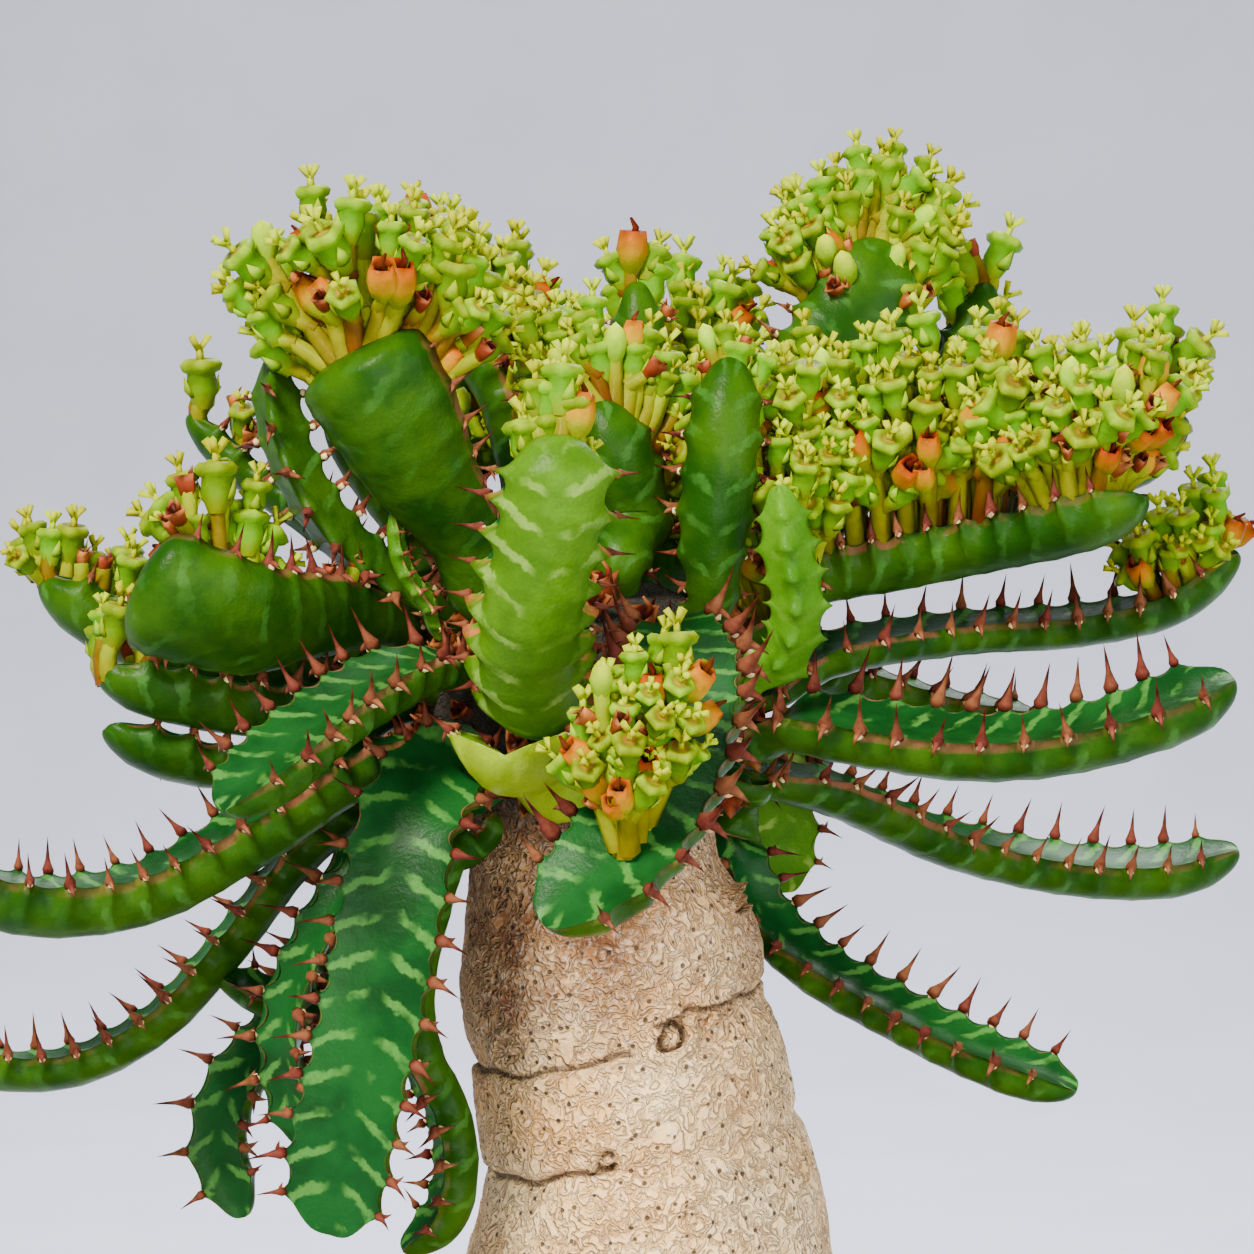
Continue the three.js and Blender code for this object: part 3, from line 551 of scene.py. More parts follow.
@dataclass(frozen=True)
class SkinFinish:
    """Living succulent skin: waxy and half matt, with feather marks on the upper face."""

    name: str
    face: str
    face_deep: str
    mark: str
    under: str
    under_deep: str
    rim: str = "#7c4a34"
    cell: str = "#0f2a10"
    mark_share: float = 0.68
    under_share: float = 0.5
    rim_reach: float = 0.482
    rim_fade: float = 0.012
    # Skin cells are drawn this coarse because the real ones are too fine to show
    cell_size: float = 0.35
    roughness: float = 0.36
    relief: float = 0.18

    def material(self) -> Material:
        """Makes the material. Wax gives a broad soft gloss over a finely granular green.

        Returns:
            The material.
        """
        add, here, shader = surface(self.name, self.roughness, IOR=1.4, Specular_IOR_Level=0.12)
        phase = add("ShaderNodeSeparateXYZ", other(add(PAINT, attribute_name="mark"), "Vector"))
        across, face = other(phase, "Y"), other(phase, "Z")
        wobble = add(MATH, add(NOISE, here, per_metre(2.2), 6, ROUGH), 0.64, -0.32, **TIMES_PLUS)
        aside = add(MATH, across, operation="ABSOLUTE")
        # Wings of each mark run back from the arm's middle to its edges
        place = add(MATH, add(MATH, aside, -1.5, phase, **TIMES_PLUS), wobble, **PLUS)
        off = add(MATH, add(MATH, add(MATH, place, operation="FRACT"), 0.5, **MINUS),
                  operation="ABSOLUTE")
        wing = add(RANGE, off, 0.07, 0.17, 1, 0, **SMOOTH)
        # A wing has gaps and leaves out the arm's middle and its edge
        for mask in (patches(add, here, 5, (0.36, 0.52)),
                     add(RANGE, aside, 0.03, 0.14, 0, 1, **SMOOTH),
                     add(RANGE, aside, 0.42, 0.48, 1, 0, **SMOOTH)):
            wing = add(MATH, wing, mask, **TIMES)
        faint = patches(add, here, 14, (0.4, 0.6), (0.08, self.mark_share * self.under_share))
        cloud = patches(add, here, 9, (0.35, 0.65))
        sides = []
        for deep, full, share in ((self.under_deep, self.under, faint),
                                  (self.face_deep, self.face, self.mark_share)):
            side = add(MIX, cloud, linear(deep), linear(full), **COLOUR)
            sides.append(add(MIX, add(MATH, wing, share, **TIMES), side, linear(self.mark),
                             **COLOUR))
        colour = add(MIX, face, *sides, **COLOUR)
        # Horny margin along the ridge, whole near the root and broken further out
        edge = add(RANGE, aside, self.rim_reach, self.rim_reach + self.rim_fade, 0, 1, **SMOOTH)
        for mask in (patches(add, here, 4, (0.4, 0.6)),
                     add(RANGE, phase, 5, 12, 0.95, 0.3, **SMOOTH)):
            edge = add(MATH, edge, mask, **TIMES)
        cells = add(NOISE, here, per_metre(self.cell_size), 2, ROUGH)
        for mask, code in ((edge, self.rim),
                           (add(RANGE, cells, 0.3, 0.7, 0, 0.16, **SMOOTH), self.cell)):
            colour = add(MIX, mask, colour, linear(code), **COLOUR)
        height = add(MATH, cells, 0.25, add(NOISE, here, per_metre(3), 3, ROUGH), **TIMES_PLUS)
        bump = add(BUMP, Strength=1.0, Distance=self.relief * MILLIMETRE, Height=height)
        return coat(shader, colour, bump)


@dataclass(frozen=True)
class PaintedFinish:
    """Small organs whose colour changes along each one, painted in their points."""

    name: str
    roughness: float
    shade: str
    shade_share: float
    speckle: float
    flesh: float = 0.0
    relief: float = 0.08

    def material(self) -> Material:
        """Makes the material. Each organ's own paint carries the colour and noise breaks it up.

        Returns:
            The material.
        """
        add, here, shader = surface(self.name, self.roughness, IOR=1.4, Specular_IOR_Level=0.04,
                                    Subsurface_Weight=self.flesh, Subsurface_Scale=0.0015)
        paint = other(add(PAINT, attribute_name="paint"), "Color")
        age = other(add(PAINT, attribute_name="age"), "Fac")
        spots = patches(add, here, self.speckle, (0.4, 0.7), (0, self.shade_share))
        colour = add(MIX, spots, paint, linear(self.shade), **COLOUR, blend_type="MULTIPLY")
        # No two organs have quite the same hue and value
        hue = add("ShaderNodeHueSaturation", Hue=add(RANGE, age, 0, 1, 0.487, 0.513, **SMOOTH),
                  Value=add(RANGE, age, 0, 1, 0.8, 1.2, **SMOOTH), Color=colour)
        bump = add(BUMP, Strength=1.0, Distance=self.relief * MILLIMETRE,
                   Height=add(NOISE, here, per_metre(self.speckle / 2), 3, ROUGH))
        return coat(shader, hue, bump)


@dataclass(frozen=True)
class BarkFinish:
    """Dry caudex bark: dull, tan, with worm-like wrinkles and dark cracks."""

    name: str = "caudex_bark"
    high: str = "#ffe2a8"
    low: str = "#e6b068"
    bleach: str = "#fff0d8"
    crack: str = "#744a22"
    hollow_dark: str = "#3c2410"
    # Painted shade of the arms on the upper bark, with some real browning
    dusk: str = "#744010"
    # Painted shade: the crown between the arms is drawn near black
    crown: str = "#0c1406"
    wrinkle_size: float = 1.7
    pit_spacing: float = 1.4
    roughness: float = 0.85
    relief: float = 0.7

    def material(self) -> Material:
        """Makes the material. The cracks, pits and folds are darker, and the ridges between them
        bleach.

        Returns:
            The material.
        """
        add, here, shader = surface(self.name, self.roughness)
        recess_depth, green, shade = (other(add(PAINT, attribute_name=name), "Fac")
                              for name in ("crack", "green", "dusk"))
        # Worm-like wrinkles are the level lines of a swirling noise
        swirl = add(NOISE, Vector=here, Scale=per_metre(self.wrinkle_size), Detail=2,
                    Distortion=1.2)
        worm = add(MATH, add(MATH, swirl, 0.5, **MINUS), operation="ABSOLUTE")
        line = add(MATH, add(RANGE, worm, 0.0, 0.05, 1, 0, **SMOOTH),
                   patches(add, here, 4, (0.38, 0.6)), **TIMES)
        # Dark pits of 0.3 mm, in two of three cells
        cells = add(CELLS, Vector=here, Scale=per_metre(self.pit_spacing))
        chance = add("ShaderNodeSeparateColor", other(cells, "Color"))
        pit = add(MATH, add(RANGE, cells, 0.12, 0.24, 1, 0, **SMOOTH),
                  add(MATH, chance, 0.35, operation="GREATER_THAN"), **TIMES)
        fine = add(NOISE, here, per_metre(0.8), 5, ROUGH)
        cloud = patches(add, here, 11, (0.25, 0.8), detail=4)
        colour = add(MIX, cloud, linear(self.low), linear(self.high), **COLOUR)
        shadow = patches(add, here, 9, (0.3, 0.7), (0.5, 1.0), 4)
        # Painted shade of the arms on the upper bark, with some real browning, broken up by
        # patches
        for mask, code in ((add(MATH, shade, shadow, **TIMES), self.dusk),
                           (add(RANGE, fine, 0.45, 0.7, 0, 0.3, **SMOOTH), self.bleach),
                           (add(RANGE, line, 0, 1, 0, 0.7, **SMOOTH), self.crack),
                           # Darker in the pits, and in the folds and scar ditches by their depth
                           (add(RANGE, pit, 0, 1, 0, 0.9, **SMOOTH), self.hollow_dark),
                           (add(RANGE, recess_depth, 0.15, 0.8, 0, 0.85, **SMOOTH), self.hollow_dark),
                           # Painted shade: the crown between the arms turns near black
                           (add(MATH, green, 0.97, **TIMES), self.crown)):
            colour = add(MIX, mask, colour, linear(code), **COLOUR)
        ridges = add(RANGE, worm, 0.0, 0.12, 0, 1, **SMOOTH)
        height = add(MATH, add(MATH, fine, 0.6, ridges, **TIMES_PLUS), pit, **MINUS)
        bump = add(BUMP, Strength=1.0, Distance=self.relief * MILLIMETRE, Height=height)
        return coat(shader, colour, bump)


@dataclass(frozen=True)
class ClayFinish:
    """Unglazed fired clay: matt orange-brown with a fine sandy grain and pale lime bloom."""

    name: str = "terracotta"
    body: str = "#ac5c32"
    dark: str = "#924a28"
    bloom: str = "#d8a98a"
    grain: str = "#5a2e1c"
    cloud_size: float = 30.0
    bloom_size: float = 18.0
    # Sand is drawn this coarse because the real grains are too fine to show
    sand_size: float = 0.7
    roughness: float = 0.82
    relief: float = 0.12

    def material(self) -> Material:
        """Makes the material. Salts from the water dry to pale clouds on the wall.

        Returns:
            The material.
        """
        add, here, shader = surface(self.name, self.roughness)
        cloud = patches(add, here, self.cloud_size, (0.35, 0.65))
        colour = add(MIX, cloud, linear(self.dark), linear(self.body), **COLOUR)
        sand = add(NOISE, here, per_metre(self.sand_size), 2, ROUGH)
        lime = patches(add, here, self.bloom_size, (0.5, 0.72), (0, 0.55), 6)
        for mask, code in ((lime, self.bloom),
                           (add(RANGE, sand, 0.55, 0.75, 0, 0.25, **SMOOTH), self.grain)):
            colour = add(MIX, mask, colour, linear(code), **COLOUR)
        bump = add(BUMP, Strength=1.0, Distance=self.relief * MILLIMETRE, Height=sand)
        return coat(shader, colour, bump)


@dataclass(frozen=True)
class GritFinish:
    """Gritty soil: dark humus between pale mineral grains."""

    name: str = "gritty_soil"
    humus: str = "#3a2c20"
    mineral: str = "#8a7a66"
    rust: str = "#8a4a2c"
    grain_size: float = 1.6
    roughness: float = 0.95
    relief: float = 0.5

    def material(self) -> Material:
        """Makes the material. Grains show as pale and rusty specks.

        Returns:
            The material.
        """
        add, here, shader = surface(self.name, self.roughness)
        grains = add(CELLS, Vector=here, Scale=per_metre(self.grain_size))
        share = add("ShaderNodeSeparateColor", other(grains, "Color"))
        colour = linear(self.humus)
        for mask, code in ((add(RANGE, share, 0.45, 0.9, 0, 1, **SMOOTH), self.mineral),
                           (add(RANGE, other(share, "Green"), 0.8, 0.95, 0, 0.7, **SMOOTH),
                            self.rust)):
            colour = add(MIX, mask, colour, linear(code), **COLOUR)
        bump = add(BUMP, Strength=1.0, Distance=self.relief * MILLIMETRE,
                   Height=add(MATH, 1, grains, **MINUS))
        return coat(shader, colour, bump)


@dataclass(frozen=True)
class PaperFinish:
    """Plain studio paper: an even pale grey that fades a little."""

    name: str = "studio_paper"
    tone: str = "#a3a8b6"
    cloud_size: float = 60.0
    roughness: float = 0.95

    def material(self) -> Material:
        """Makes the material. Broad faint clouds keep the sheet from looking flat.

        Returns:
            The material.
        """
        add, here, shader = surface(self.name, self.roughness)
        cloud = patches(add, here, self.cloud_size, (0.3, 0.7), (0, 0.04))
        return coat(shader, add(MIX, cloud, linear(self.tone), linear("#ffffff"), **COLOUR))


ADULT_SKIN = SkinFinish("arm_skin", "#124a1a", "#083410", "#4c8838", "#2e5400", "#123c00")
# Painted light: lighter than the grown skin, to stand for the strong light on the front arm; it
# also has pale marks on its underside and a redder rim
PAINTED_LIT_SKIN = SkinFinish("sunlit_arm_skin", "#16521e", "#0a3a12", "#80a444", "#4c7808", "#386004",
                         rim="#b8603c", under_share=1.0, rim_reach=0.466)
GROWING_SKIN = SkinFinish("growing_arm_skin", "#4c8010", "#386c08", "#8cac48", "#4c8010",
                          "#346408", rim="#a87848", mark_share=0.7)
YOUNG_SKIN = SkinFinish("young_arm_skin", "#7ca410", "#5c8c08", "#b0cc40", "#88a400", "#708c00",
                        rim="#a8a04c", mark_share=0.5)
# Horn is hard and dry, so each spine has a soft gleam along its length
THORN_FINISH = PaintedFinish("thorn_horn", 0.4, "#6a3020", 0.45, 1.2)
# Flesh full of sap is moist and waxy, and a little light passes through its thin parts
FLOWER_FINISH = PaintedFinish("cyathium_flesh", 0.28, "#6a8a28", 0.25, 1.6, flesh=0.04)


# ---- Trees ----


class SkinTree:
    """Grows an arm's toothed skin on the stations of its rail."""

    COLUMNS = 28
    RINGS_PER_TOOTH = 8

    def __init__(self, section: "Section") -> None:
        """Builds the tree for one kind of cross section.

        Args:
            section: How many toothed edges the arm has.
        """
        self.tree, add, entry = new_tree(f"grow_{section.name.lower()}_skin", {
            "Rings": "NodeSocketInt", "Notch": "NodeSocketFloat", "Swell": "NodeSocketFloat",
            "Roughness": "NodeSocketFloat", "Skin": "NodeSocketMaterial"})
        grid = add("GeometryNodeMeshGrid", Size_X=1, Size_Y=1, Vertices_X=other(entry, "Rings"),
                   Vertices_Y=self.COLUMNS + 1)
        index = add("GeometryNodeInputIndex")
        ring = add(MATH, add(MATH, index, self.COLUMNS + 1, operation="DIVIDE"), operation="FLOOR")
        column = add(MATH, index, add(MATH, ring, self.COLUMNS + 1, **TIMES), **MINUS)
        turn = add(MATH, column, self.COLUMNS, operation="DIVIDE")
        fields = [(add("GeometryNodeInputPosition"), "FLOAT_VECTOR")]
        for name, kind in (("across", "FLOAT_VECTOR"), ("up", "FLOAT_VECTOR"), ("phase", "FLOAT")):
            fields.append((add(NAMED, name, data_type=kind), kind))
        centre, across, up, phase = (
            add("GeometryNodeSampleIndex", Geometry=other(entry, "Geometry"), Value=field,
                Index=ring, data_type=kind, domain="POINT") for field, kind in fields)
        wide, high, ridge = (self.curve(add, turn, section, part) for part in range(3))
        # A tooth stands at each whole phase, with a hollow notch between two of them
        tooth = add(MATH, add(MATH, phase, 0.5, **PLUS), operation="FRACT")
        beat = add(MATH, add(MATH, tooth, 2, -1, **TIMES_PLUS), operation="ABSOLUTE")
        peak = add(MATH, 1, beat, **MINUS)
        hollow = add(MATH, peak, add(MATH, peak, -1, **TIMES), 1, **TIMES_PLUS)
        cut = add(MATH, hollow, add(MATH, ridge, other(entry, "Notch"), **TIMES), **TIMES)
        flank = add(MATH, add(MATH, 1, ridge, **MINUS), other(entry, "Swell"), **TIMES)
        swell = add(MATH, flank, add(MATH, 0.6, hollow, **MINUS), **TIMES)
        # Living skin is never quite even
        level = add(VECTOR, across, wide, centre, **TIMES_PLUS)
        wander = add(NOISE, Vector=add(VECTOR, up, high, level, **TIMES_PLUS), Scale=0.22,
                     Detail=2)
        uneven = add(MATH, add(MATH, wander, 0.5, **MINUS), other(entry, "Roughness"), **TIMES)
        size = add(MATH, add(MATH, 1, cut, **MINUS), add(MATH, swell, uneven, **PLUS), **PLUS)
        level = add(VECTOR, across, add(MATH, wide, size, **TIMES), centre, **TIMES_PLUS)
        place = add(VECTOR, up, add(MATH, high, size, **TIMES), level, **TIMES_PLUS)
        skin = add("GeometryNodeSetPosition", Geometry=grid, Position=place)
        upper = add(MATH, add(MATH, turn, 0.01, operation="GREATER_THAN"),
                    add(MATH, turn, 0.49, operation="LESS_THAN"), **TIMES)
        mark = add("ShaderNodeCombineXYZ", X=phase, Y=wide, Z=upper)
        marked = add("GeometryNodeStoreNamedAttribute", Geometry=skin, Name="mark", Value=mark,
                     data_type="FLOAT_VECTOR", domain="POINT")
        closed = add("GeometryNodeMergeByDistance", Geometry=marked, Distance=0.0005)
        end_tree(add, closed, other(entry, "Skin"))

    @staticmethod
    def curve(add: Adder, turn: Socket, section: "Section", part: int) -> Socket:
        """A value of the cross section around the turn.

        Args:
            add: What adds nodes to the tree.
            turn: Share of the way round.
            section: The kind of section.
            part: 0 for sideways, 1 for up and 2 for how close a ridge is.

        Returns:
            The value there.
        """
        made = add("ShaderNodeFloatCurve", Value=turn)
        curve = made.node.mapping.curves[0]
        lift = (0.5, 0.6, 0.0)[part]
        count = SkinTree.COLUMNS
        for i in range(1, count):
            curve.points.new(i / count, 0)
        for i, point in enumerate(curve.points):
            value = section.at(2 * math.pi * i / count)[part] + lift
            point.location = (i / count, value)
            point.handle_type = "VECTOR"
        made.node.mapping.update()
        return add(MATH, made, lift, **MINUS)


class ScatterTree:
    """Sets copies of one shape on points, each turned to its own aim."""

    def __init__(self) -> None:
        """Builds the tree, which reads aim, side and size from the points."""
        self.tree, add, entry = new_tree("scatter_organs", {
            "Shape": "NodeSocketObject", "Finish": "NodeSocketMaterial"})
        shape = other(add("GeometryNodeObjectInfo", Object=other(entry, "Shape"), As_Instance=True,
                          transform_space="ORIGINAL"), "Geometry")
        stand = add("FunctionNodeAlignRotationToVector",
                    Vector=add(NAMED, "aim", data_type="FLOAT_VECTOR"), axis="Z")
        turned = add("FunctionNodeAlignRotationToVector", Rotation=stand,
                     Vector=add(NAMED, "side", data_type="FLOAT_VECTOR"), axis="X", pivot_axis="Z")
        copies = add("GeometryNodeInstanceOnPoints", Points=other(entry, "Geometry"),
                     Instance=shape, Rotation=turned, Scale=add(NAMED, "size", data_type="FLOAT"))
        end_tree(add, copies, other(entry, "Finish"))


class StalkTree:
    """Turns chains of points into round stalks of their own thickness."""

    def __init__(self) -> None:
        """Builds the tree, which reads thick from the points."""
        self.tree, add, entry = new_tree("grow_stalks", {
            "Sides": "NodeSocketInt", "Finish": "NodeSocketMaterial"})
        line = add("GeometryNodeMeshToCurve", Mesh=other(entry, "Geometry"))
        profile = add("GeometryNodeCurvePrimitiveCircle", Resolution=other(entry, "Sides"),
                      Radius=1.0)
        body = add("GeometryNodeCurveToMesh", Curve=line, Profile_Curve=profile,
                   Scale=add(NAMED, "thick", data_type="FLOAT"), Fill_Caps=True)
        end_tree(add, body, other(entry, "Finish"))


class BarkTree:
    """Wrinkles the smooth body of the caudex."""

    def __init__(self) -> None:
        """Builds the tree, which reads rough and scar from the points."""
        self.tree, add, entry = new_tree("wrinkle_bark", {
            "Relief": "NodeSocketFloat", "Wrinkle": "NodeSocketFloat",
            "Finish": "NodeSocketMaterial"})
        place = add("GeometryNodeInputPosition")
        wrinkle = add(NOISE, Vector=place,
                      Scale=add(MATH, 1, other(entry, "Wrinkle"), operation="DIVIDE"), Detail=3,
                      Distortion=1.2)
        lumps = add(MATH, add(NOISE, Vector=place, Scale=0.08, Detail=2), 3.0, -2.3, **TIMES_PLUS)
        height = add(MATH, wrinkle, 1.6, lumps, **TIMES_PLUS)
        for share in (add(NAMED, "rough", data_type="FLOAT"), other(entry, "Relief")):
            height = add(MATH, height, share, **TIMES)
        height = add(MATH, height, add(NAMED, "scar", data_type="FLOAT"), **PLUS)
        moved = add(VECTOR, add("GeometryNodeInputNormal"), height, place, **TIMES_PLUS)
        bark = add("GeometryNodeSetPosition", Geometry=other(entry, "Geometry"), Position=moved)
        end_tree(add, bark, other(entry, "Finish"))


# ---- Arms ----


class Section(Enum):
    """How many toothed edges an arm has."""

    TWO_EDGED = "two-edged"
    THREE_EDGED = "three-edged"
    CUPPED = "cupped"

    def at(self, turn: float) -> tuple[float, float, float]:
        """One point of the cross section.

        Args:
            turn: Angle from the right edge, over the upper face.

        Returns:
            Sideways place, height and closeness to a ridge, as shares of width and depth.
        """
        wide = math.cos(turn) / 2
        aside = min(1.0, abs(2 * wide))
        is_upper = math.sin(turn) > -1e-6
        keeled = self is Section.THREE_EDGED
        if self is Section.CUPPED:
            low = -0.02 if is_upper else -0.44
            high = lerp(low, EDGE_HEIGHT, aside ** 2 if is_upper else aside ** 2.4)
        elif is_upper:
            high = lerp(0.1 if keeled else TROUGH_HEIGHT, EDGE_HEIGHT, aside ** 2)
        elif keeled:
            high = lerp(-0.55, EDGE_HEIGHT, aside ** 0.6)
        else:
            high = EDGE_HEIGHT - 0.8 * math.sqrt(1 - aside ** 2)
        ridge = aside ** 7
        if keeled and not is_upper:
            ridge = max(ridge, (1 - aside) ** 8)
        return wide, high, ridge


class Age(Enum):
    """The look of an arm's skin."""

    GROWN = "grown"
    # Sunlit skin is painted light: a lighter copy of the grown skin
    SUNLIT = "sunlit"
    GROWING = "growing"
    YOUNG = "young"


@dataclass(frozen=True)
class Head:
    """A cyme of cyathia on part of an arm."""

    start: float
    end: float
    tall: float
    fan: float = 0.0
    spread: float = 1.0
    splay: float = 0.0
    fall: float = 0.0
    dry: float = 0.12
    size: float = 0.9


@dataclass(frozen=True)
class Station:
    """One place on the middle line of an arm."""

    centre: Vector
    along: Vector
    across: Vector
    up: Vector
    fullness: float
    distance: float

    def beside(self, aside: float, rise: float) -> Vector:
        """The point that stands this far aside and up where the arm is full."""
        return self.centre + (self.across * aside + self.up * rise) * self.fullness


@dataclass(frozen=True)
class Arm:
    """One leafless green arm: where it leaves the crown, its size and the way that it bends."""

    name: str
    seat: tuple[float, float]
    width: float
    depth: float
    face: Place
    path: tuple[Place, ...]
    lift: float = 0.7
    section: Section = Section.TWO_EDGED
    is_young: bool = False
    is_small: bool = False
    is_spineless: bool = False
    age: Age = Age.GROWN
    pitch: float = TOOTH_PITCH
    neck: float = NECK_WIDTH
    neck_length: float = NECK_LENGTH
    spine: float = 0.74
    cut: float = TOOTH_CUT
    tip: float = 1.0
    heads: tuple[Head, ...] = ()

    @property
    def size(self) -> float:
        """Its teeth and tip against those of a grown arm."""
        return SMALL_ARM if self.is_small else 1.0


class Rail:
    """The curved middle line of an arm, by distance along it."""

    # Half the length over which the line's direction is taken
    STEP = 0.4

    def __init__(self, arm: Arm) -> None:
        """Runs a centripetal curve from inside the crown through the arm's path.

        Args:
            arm: The arm that follows it.
        """
        self.arm = arm
        skin, _, normal = caudex_skin(math.radians(arm.seat[0]), arm.seat[1])
        normal.normalize()
        knots = [skin - normal * SEAT_DEPTH, skin + normal * SEAT_STANDOFF]
        knots += [Vector(p) for p in arm.path]
        knots = [knots[0] * 2 - knots[1], *knots, knots[-1] * 2 - knots[-2]]
        self.points: list[Vector] = [knots[1]]
        for i in range(1, len(knots) - 2):
            self.points += self.span(*knots[i - 1:i + 3])
        self.reach = [0.0]
        for a, b in zip(self.points, self.points[1:]):
            self.reach.append(self.reach[-1] + (b - a).length)
        self.length = self.reach[-1]

    @staticmethod
    def span(before: Vector, low: Vector, high: Vector, after: Vector) -> list[Vector]:
        """Points from low to high on a centripetal curve through four points.

        Args:
            before: The first point.
            low: The second.
            high: The third.
            after: The last.

        Returns:
            The points that follow low, with high as the last.
        """
        d0, d1, d2 = (max(1e-4, (b - a).length ** 0.5)
                      for a, b in ((before, low), (low, high), (high, after)))
        slopes = (((low - before) / d0 - (high - before) / (d0 + d1) + (high - low) / d1) * d1,
                  ((high - low) / d1 - (after - low) / (d1 + d2) + (after - high) / d2) * d1)
        return [hermite(i / SPAN_SAMPLES, (low, high), slopes)
                for i in range(1, SPAN_SAMPLES + 1)]

    def place(self, distance: float) -> Vector:
        """The point at a distance along the line.

        Args:
            distance: Millimetres from the root.

        Returns:
            The point there.
        """
        i = min(max(1, bisect_left(self.reach, distance)), len(self.reach) - 1)
        span = self.reach[i] - self.reach[i - 1]
        share = min(1.0, max(0.0, (distance - self.reach[i - 1]) / span))
        return self.points[i - 1].lerp(self.points[i], share)

    def station(self, distance: float) -> Station:
        """The frame at a distance along the line.

        Args:
            distance: Millimetres from the root.

        Returns:
            The station there.
        """
        low, high = max(0.0, distance - self.STEP), min(self.length, distance + self.STEP)
        along = (self.place(high) - self.place(low)).normalized()
        across = along.cross(Vector(self.arm.face)).normalized()
        up = across.cross(along).normalized()
        neck_end = self.arm.neck_length * self.arm.size + SEAT_DEPTH
        neck = lerp(self.arm.neck, 1, smoothstep(distance, SEAT_DEPTH, neck_end))
        tip = TIP_LENGTH * self.arm.size * self.arm.tip
        left = min(1.0, max(0.0, (self.length - distance) / tip))
        fullness = neck * math.sqrt(1 - (1 - left) ** 2)
        return Station(self.place(distance), along, across, up, fullness, distance)


class OrganShop:
    """The small organs that every arm carries, each one a shape of a few dozen faces."""

    def __init__(self) -> None:
        """Makes one master of each organ."""
        self.masters = {
            "thorn": self.thorn(), "open_tall": self.open_cyathium(1.0, 0.5),
            "open_wide": self.open_cyathium(1.12, 0.8), "open_low": self.open_cyathium(0.92, 0.3),
            "bud": self.bud(), "old": self.old_cup(), "dried": self.dried(),
        }
        self.objects = {name: bpy.data.objects.new(name, shape.mesh(name))
                        for name, shape in self.masters.items()}

    @staticmethod
    def thorn() -> Shape:
        """A horny shield with one long and one short spine. Its pale patch is a dormant eye.

        Returns:
            The shape.
        """
        shape = Shape()
        horn, dark, pale = "#6a3a28", "#401a10", "#d0b07c"
        shape.tube((((0, 0, -0.9), 0.8, dark), ((0, 0, 0), 1.0, horn), ((0.1, 0, 0.8), 0.68, horn),
                    ((0.15, 0, 1.9), 0.36, horn), ((0.05, 0, 3.5), 0.2, dark),
                    ((-0.25, 0, 5.6), 0.0, "#3a140a")), 6)
        shape.tube((((0.1, 0, 0), 0.62, horn), ((1.0, 0, 0.1), 0.52, horn),
                    ((1.9, 0, -0.1), 0.3, "#844c36"), ((3.3, 0, -0.7), 0.0, dark)), 5)
        shape.tube((((0.1, 0, -0.6), 0.6, pale), ((0.95, 0, -0.55), 0.62, pale),
                    ((1.4, 0, -0.8), 0.0, "#f0e0a0")), 5)
        return shape

    @staticmethod
    def open_cyathium(size: float, splay: float) -> Shape:
        """An open cyathium: funnel, two clasping bracts, ring of five glands, forked styles.

        Args:
            size: Its size against a usual one.
            splay: How far its three styles bend apart.

        Returns:
            The shape.
        """
        shape = Shape()
        outline = ((-0.8, 0.95, "#707c00"), (1.5, 1.8, "#5a8804"), (3.1, 1.6, "#568404"),
                   (3.4, 2.2, "#689800"), (4.1, 2.5, "#7c9c00"), (4.7, 1.9, "#88a400"),
                   (4.5, 1.05, "#646c08"), (4.6, 0.0, "#b0742c"))
        shape.turned([(h * size, r * size, c) for h, r, c in outline], 10,
                     (0, 0, 0, 0.13, 0.16, 0.17, 0, 0))
        # A clasping bract on each side, pale along its edge and with a raised middle
        leaf = ((1.0, 0, 0, "#4c7004"), (1.55, 1, 1, "#849c10"), (2.1, 0, 3.1, "#98ac10"),
                (1.55, -1, 1, "#849c10"), (2.15, 0, 1.3, "#608c08"))
        for side in (-1, 1):
            start = len(shape.points)
            shape.points += [Vector((side * x, y, z)) * size for x, y, z, _ in leaf]
            shape.paint += [linear(code) for *_, code in leaf]
            for face in ((0, 1, 4), (1, 2, 4), (2, 3, 4), (3, 0, 4), (3, 2, 1, 0)):
                shape.faces.append(tuple(start + k for k in face[::side]))
        yellow, bright = "#94a400", "#a4b000"
        up = Vector((0, 0, size))
        shape.tube(((up * 4.2, 0.5, yellow), (up * 5.9, 0.46, bright)), 4)
        for i in range(3):
            turn = 2 * math.pi * (i / 3 + 0.1)
            out = Vector((math.cos(turn), math.sin(turn), 0)) * (0.7 + 0.9 * splay)
            shape.tube(((up * 5.6, 0.42, bright), (up * 7.2 + out, 0.6, bright)), 3)
        return shape

    @staticmethod
    def bud() -> Shape:
        """A closed, pointed bud on its short stalk.

        Returns:
            The shape.
        """
        shape = Shape()
        shape.turned(((-0.6, 0.7, "#6c8808"), (1.0, 1.4, "#78a008"), (2.6, 1.7, "#8cb408"),
                      (4.2, 1.2, "#a4c000"), (5.2, 0.0, "#b8c800")), 7)
        return shape

    @staticmethod
    def old_cup() -> Shape:
        """A spent cyathium: an orange cup with a dry brown middle.

        Returns:
            The shape.
        """
        shape = Shape()
        shape.turned(((-0.8, 0.8, "#788000"), (0.6, 1.7, "#788000"), (2.0, 2.1, "#a47c00"),
                      (3.4, 1.9, "#ac6800"), (4.8, 1.7, "#a44800"), (4.6, 1.2, "#7c2c04"),
                      (3.6, 0.9, "#240c04"), (3.5, 0.0, "#180804")), 8,
                     (0, 0, 0.05, 0.05, 0.25, 0.2, 0, 0))
        shape.tube((((0, 0, 3.2), 0.6, "#2c0e06"), ((0.3, 0.2, 5.2), 0.5, "#54200c"),
                    ((-0.4, 0.3, 6.4), 0.2, "#3c1408")), 3)
        return shape

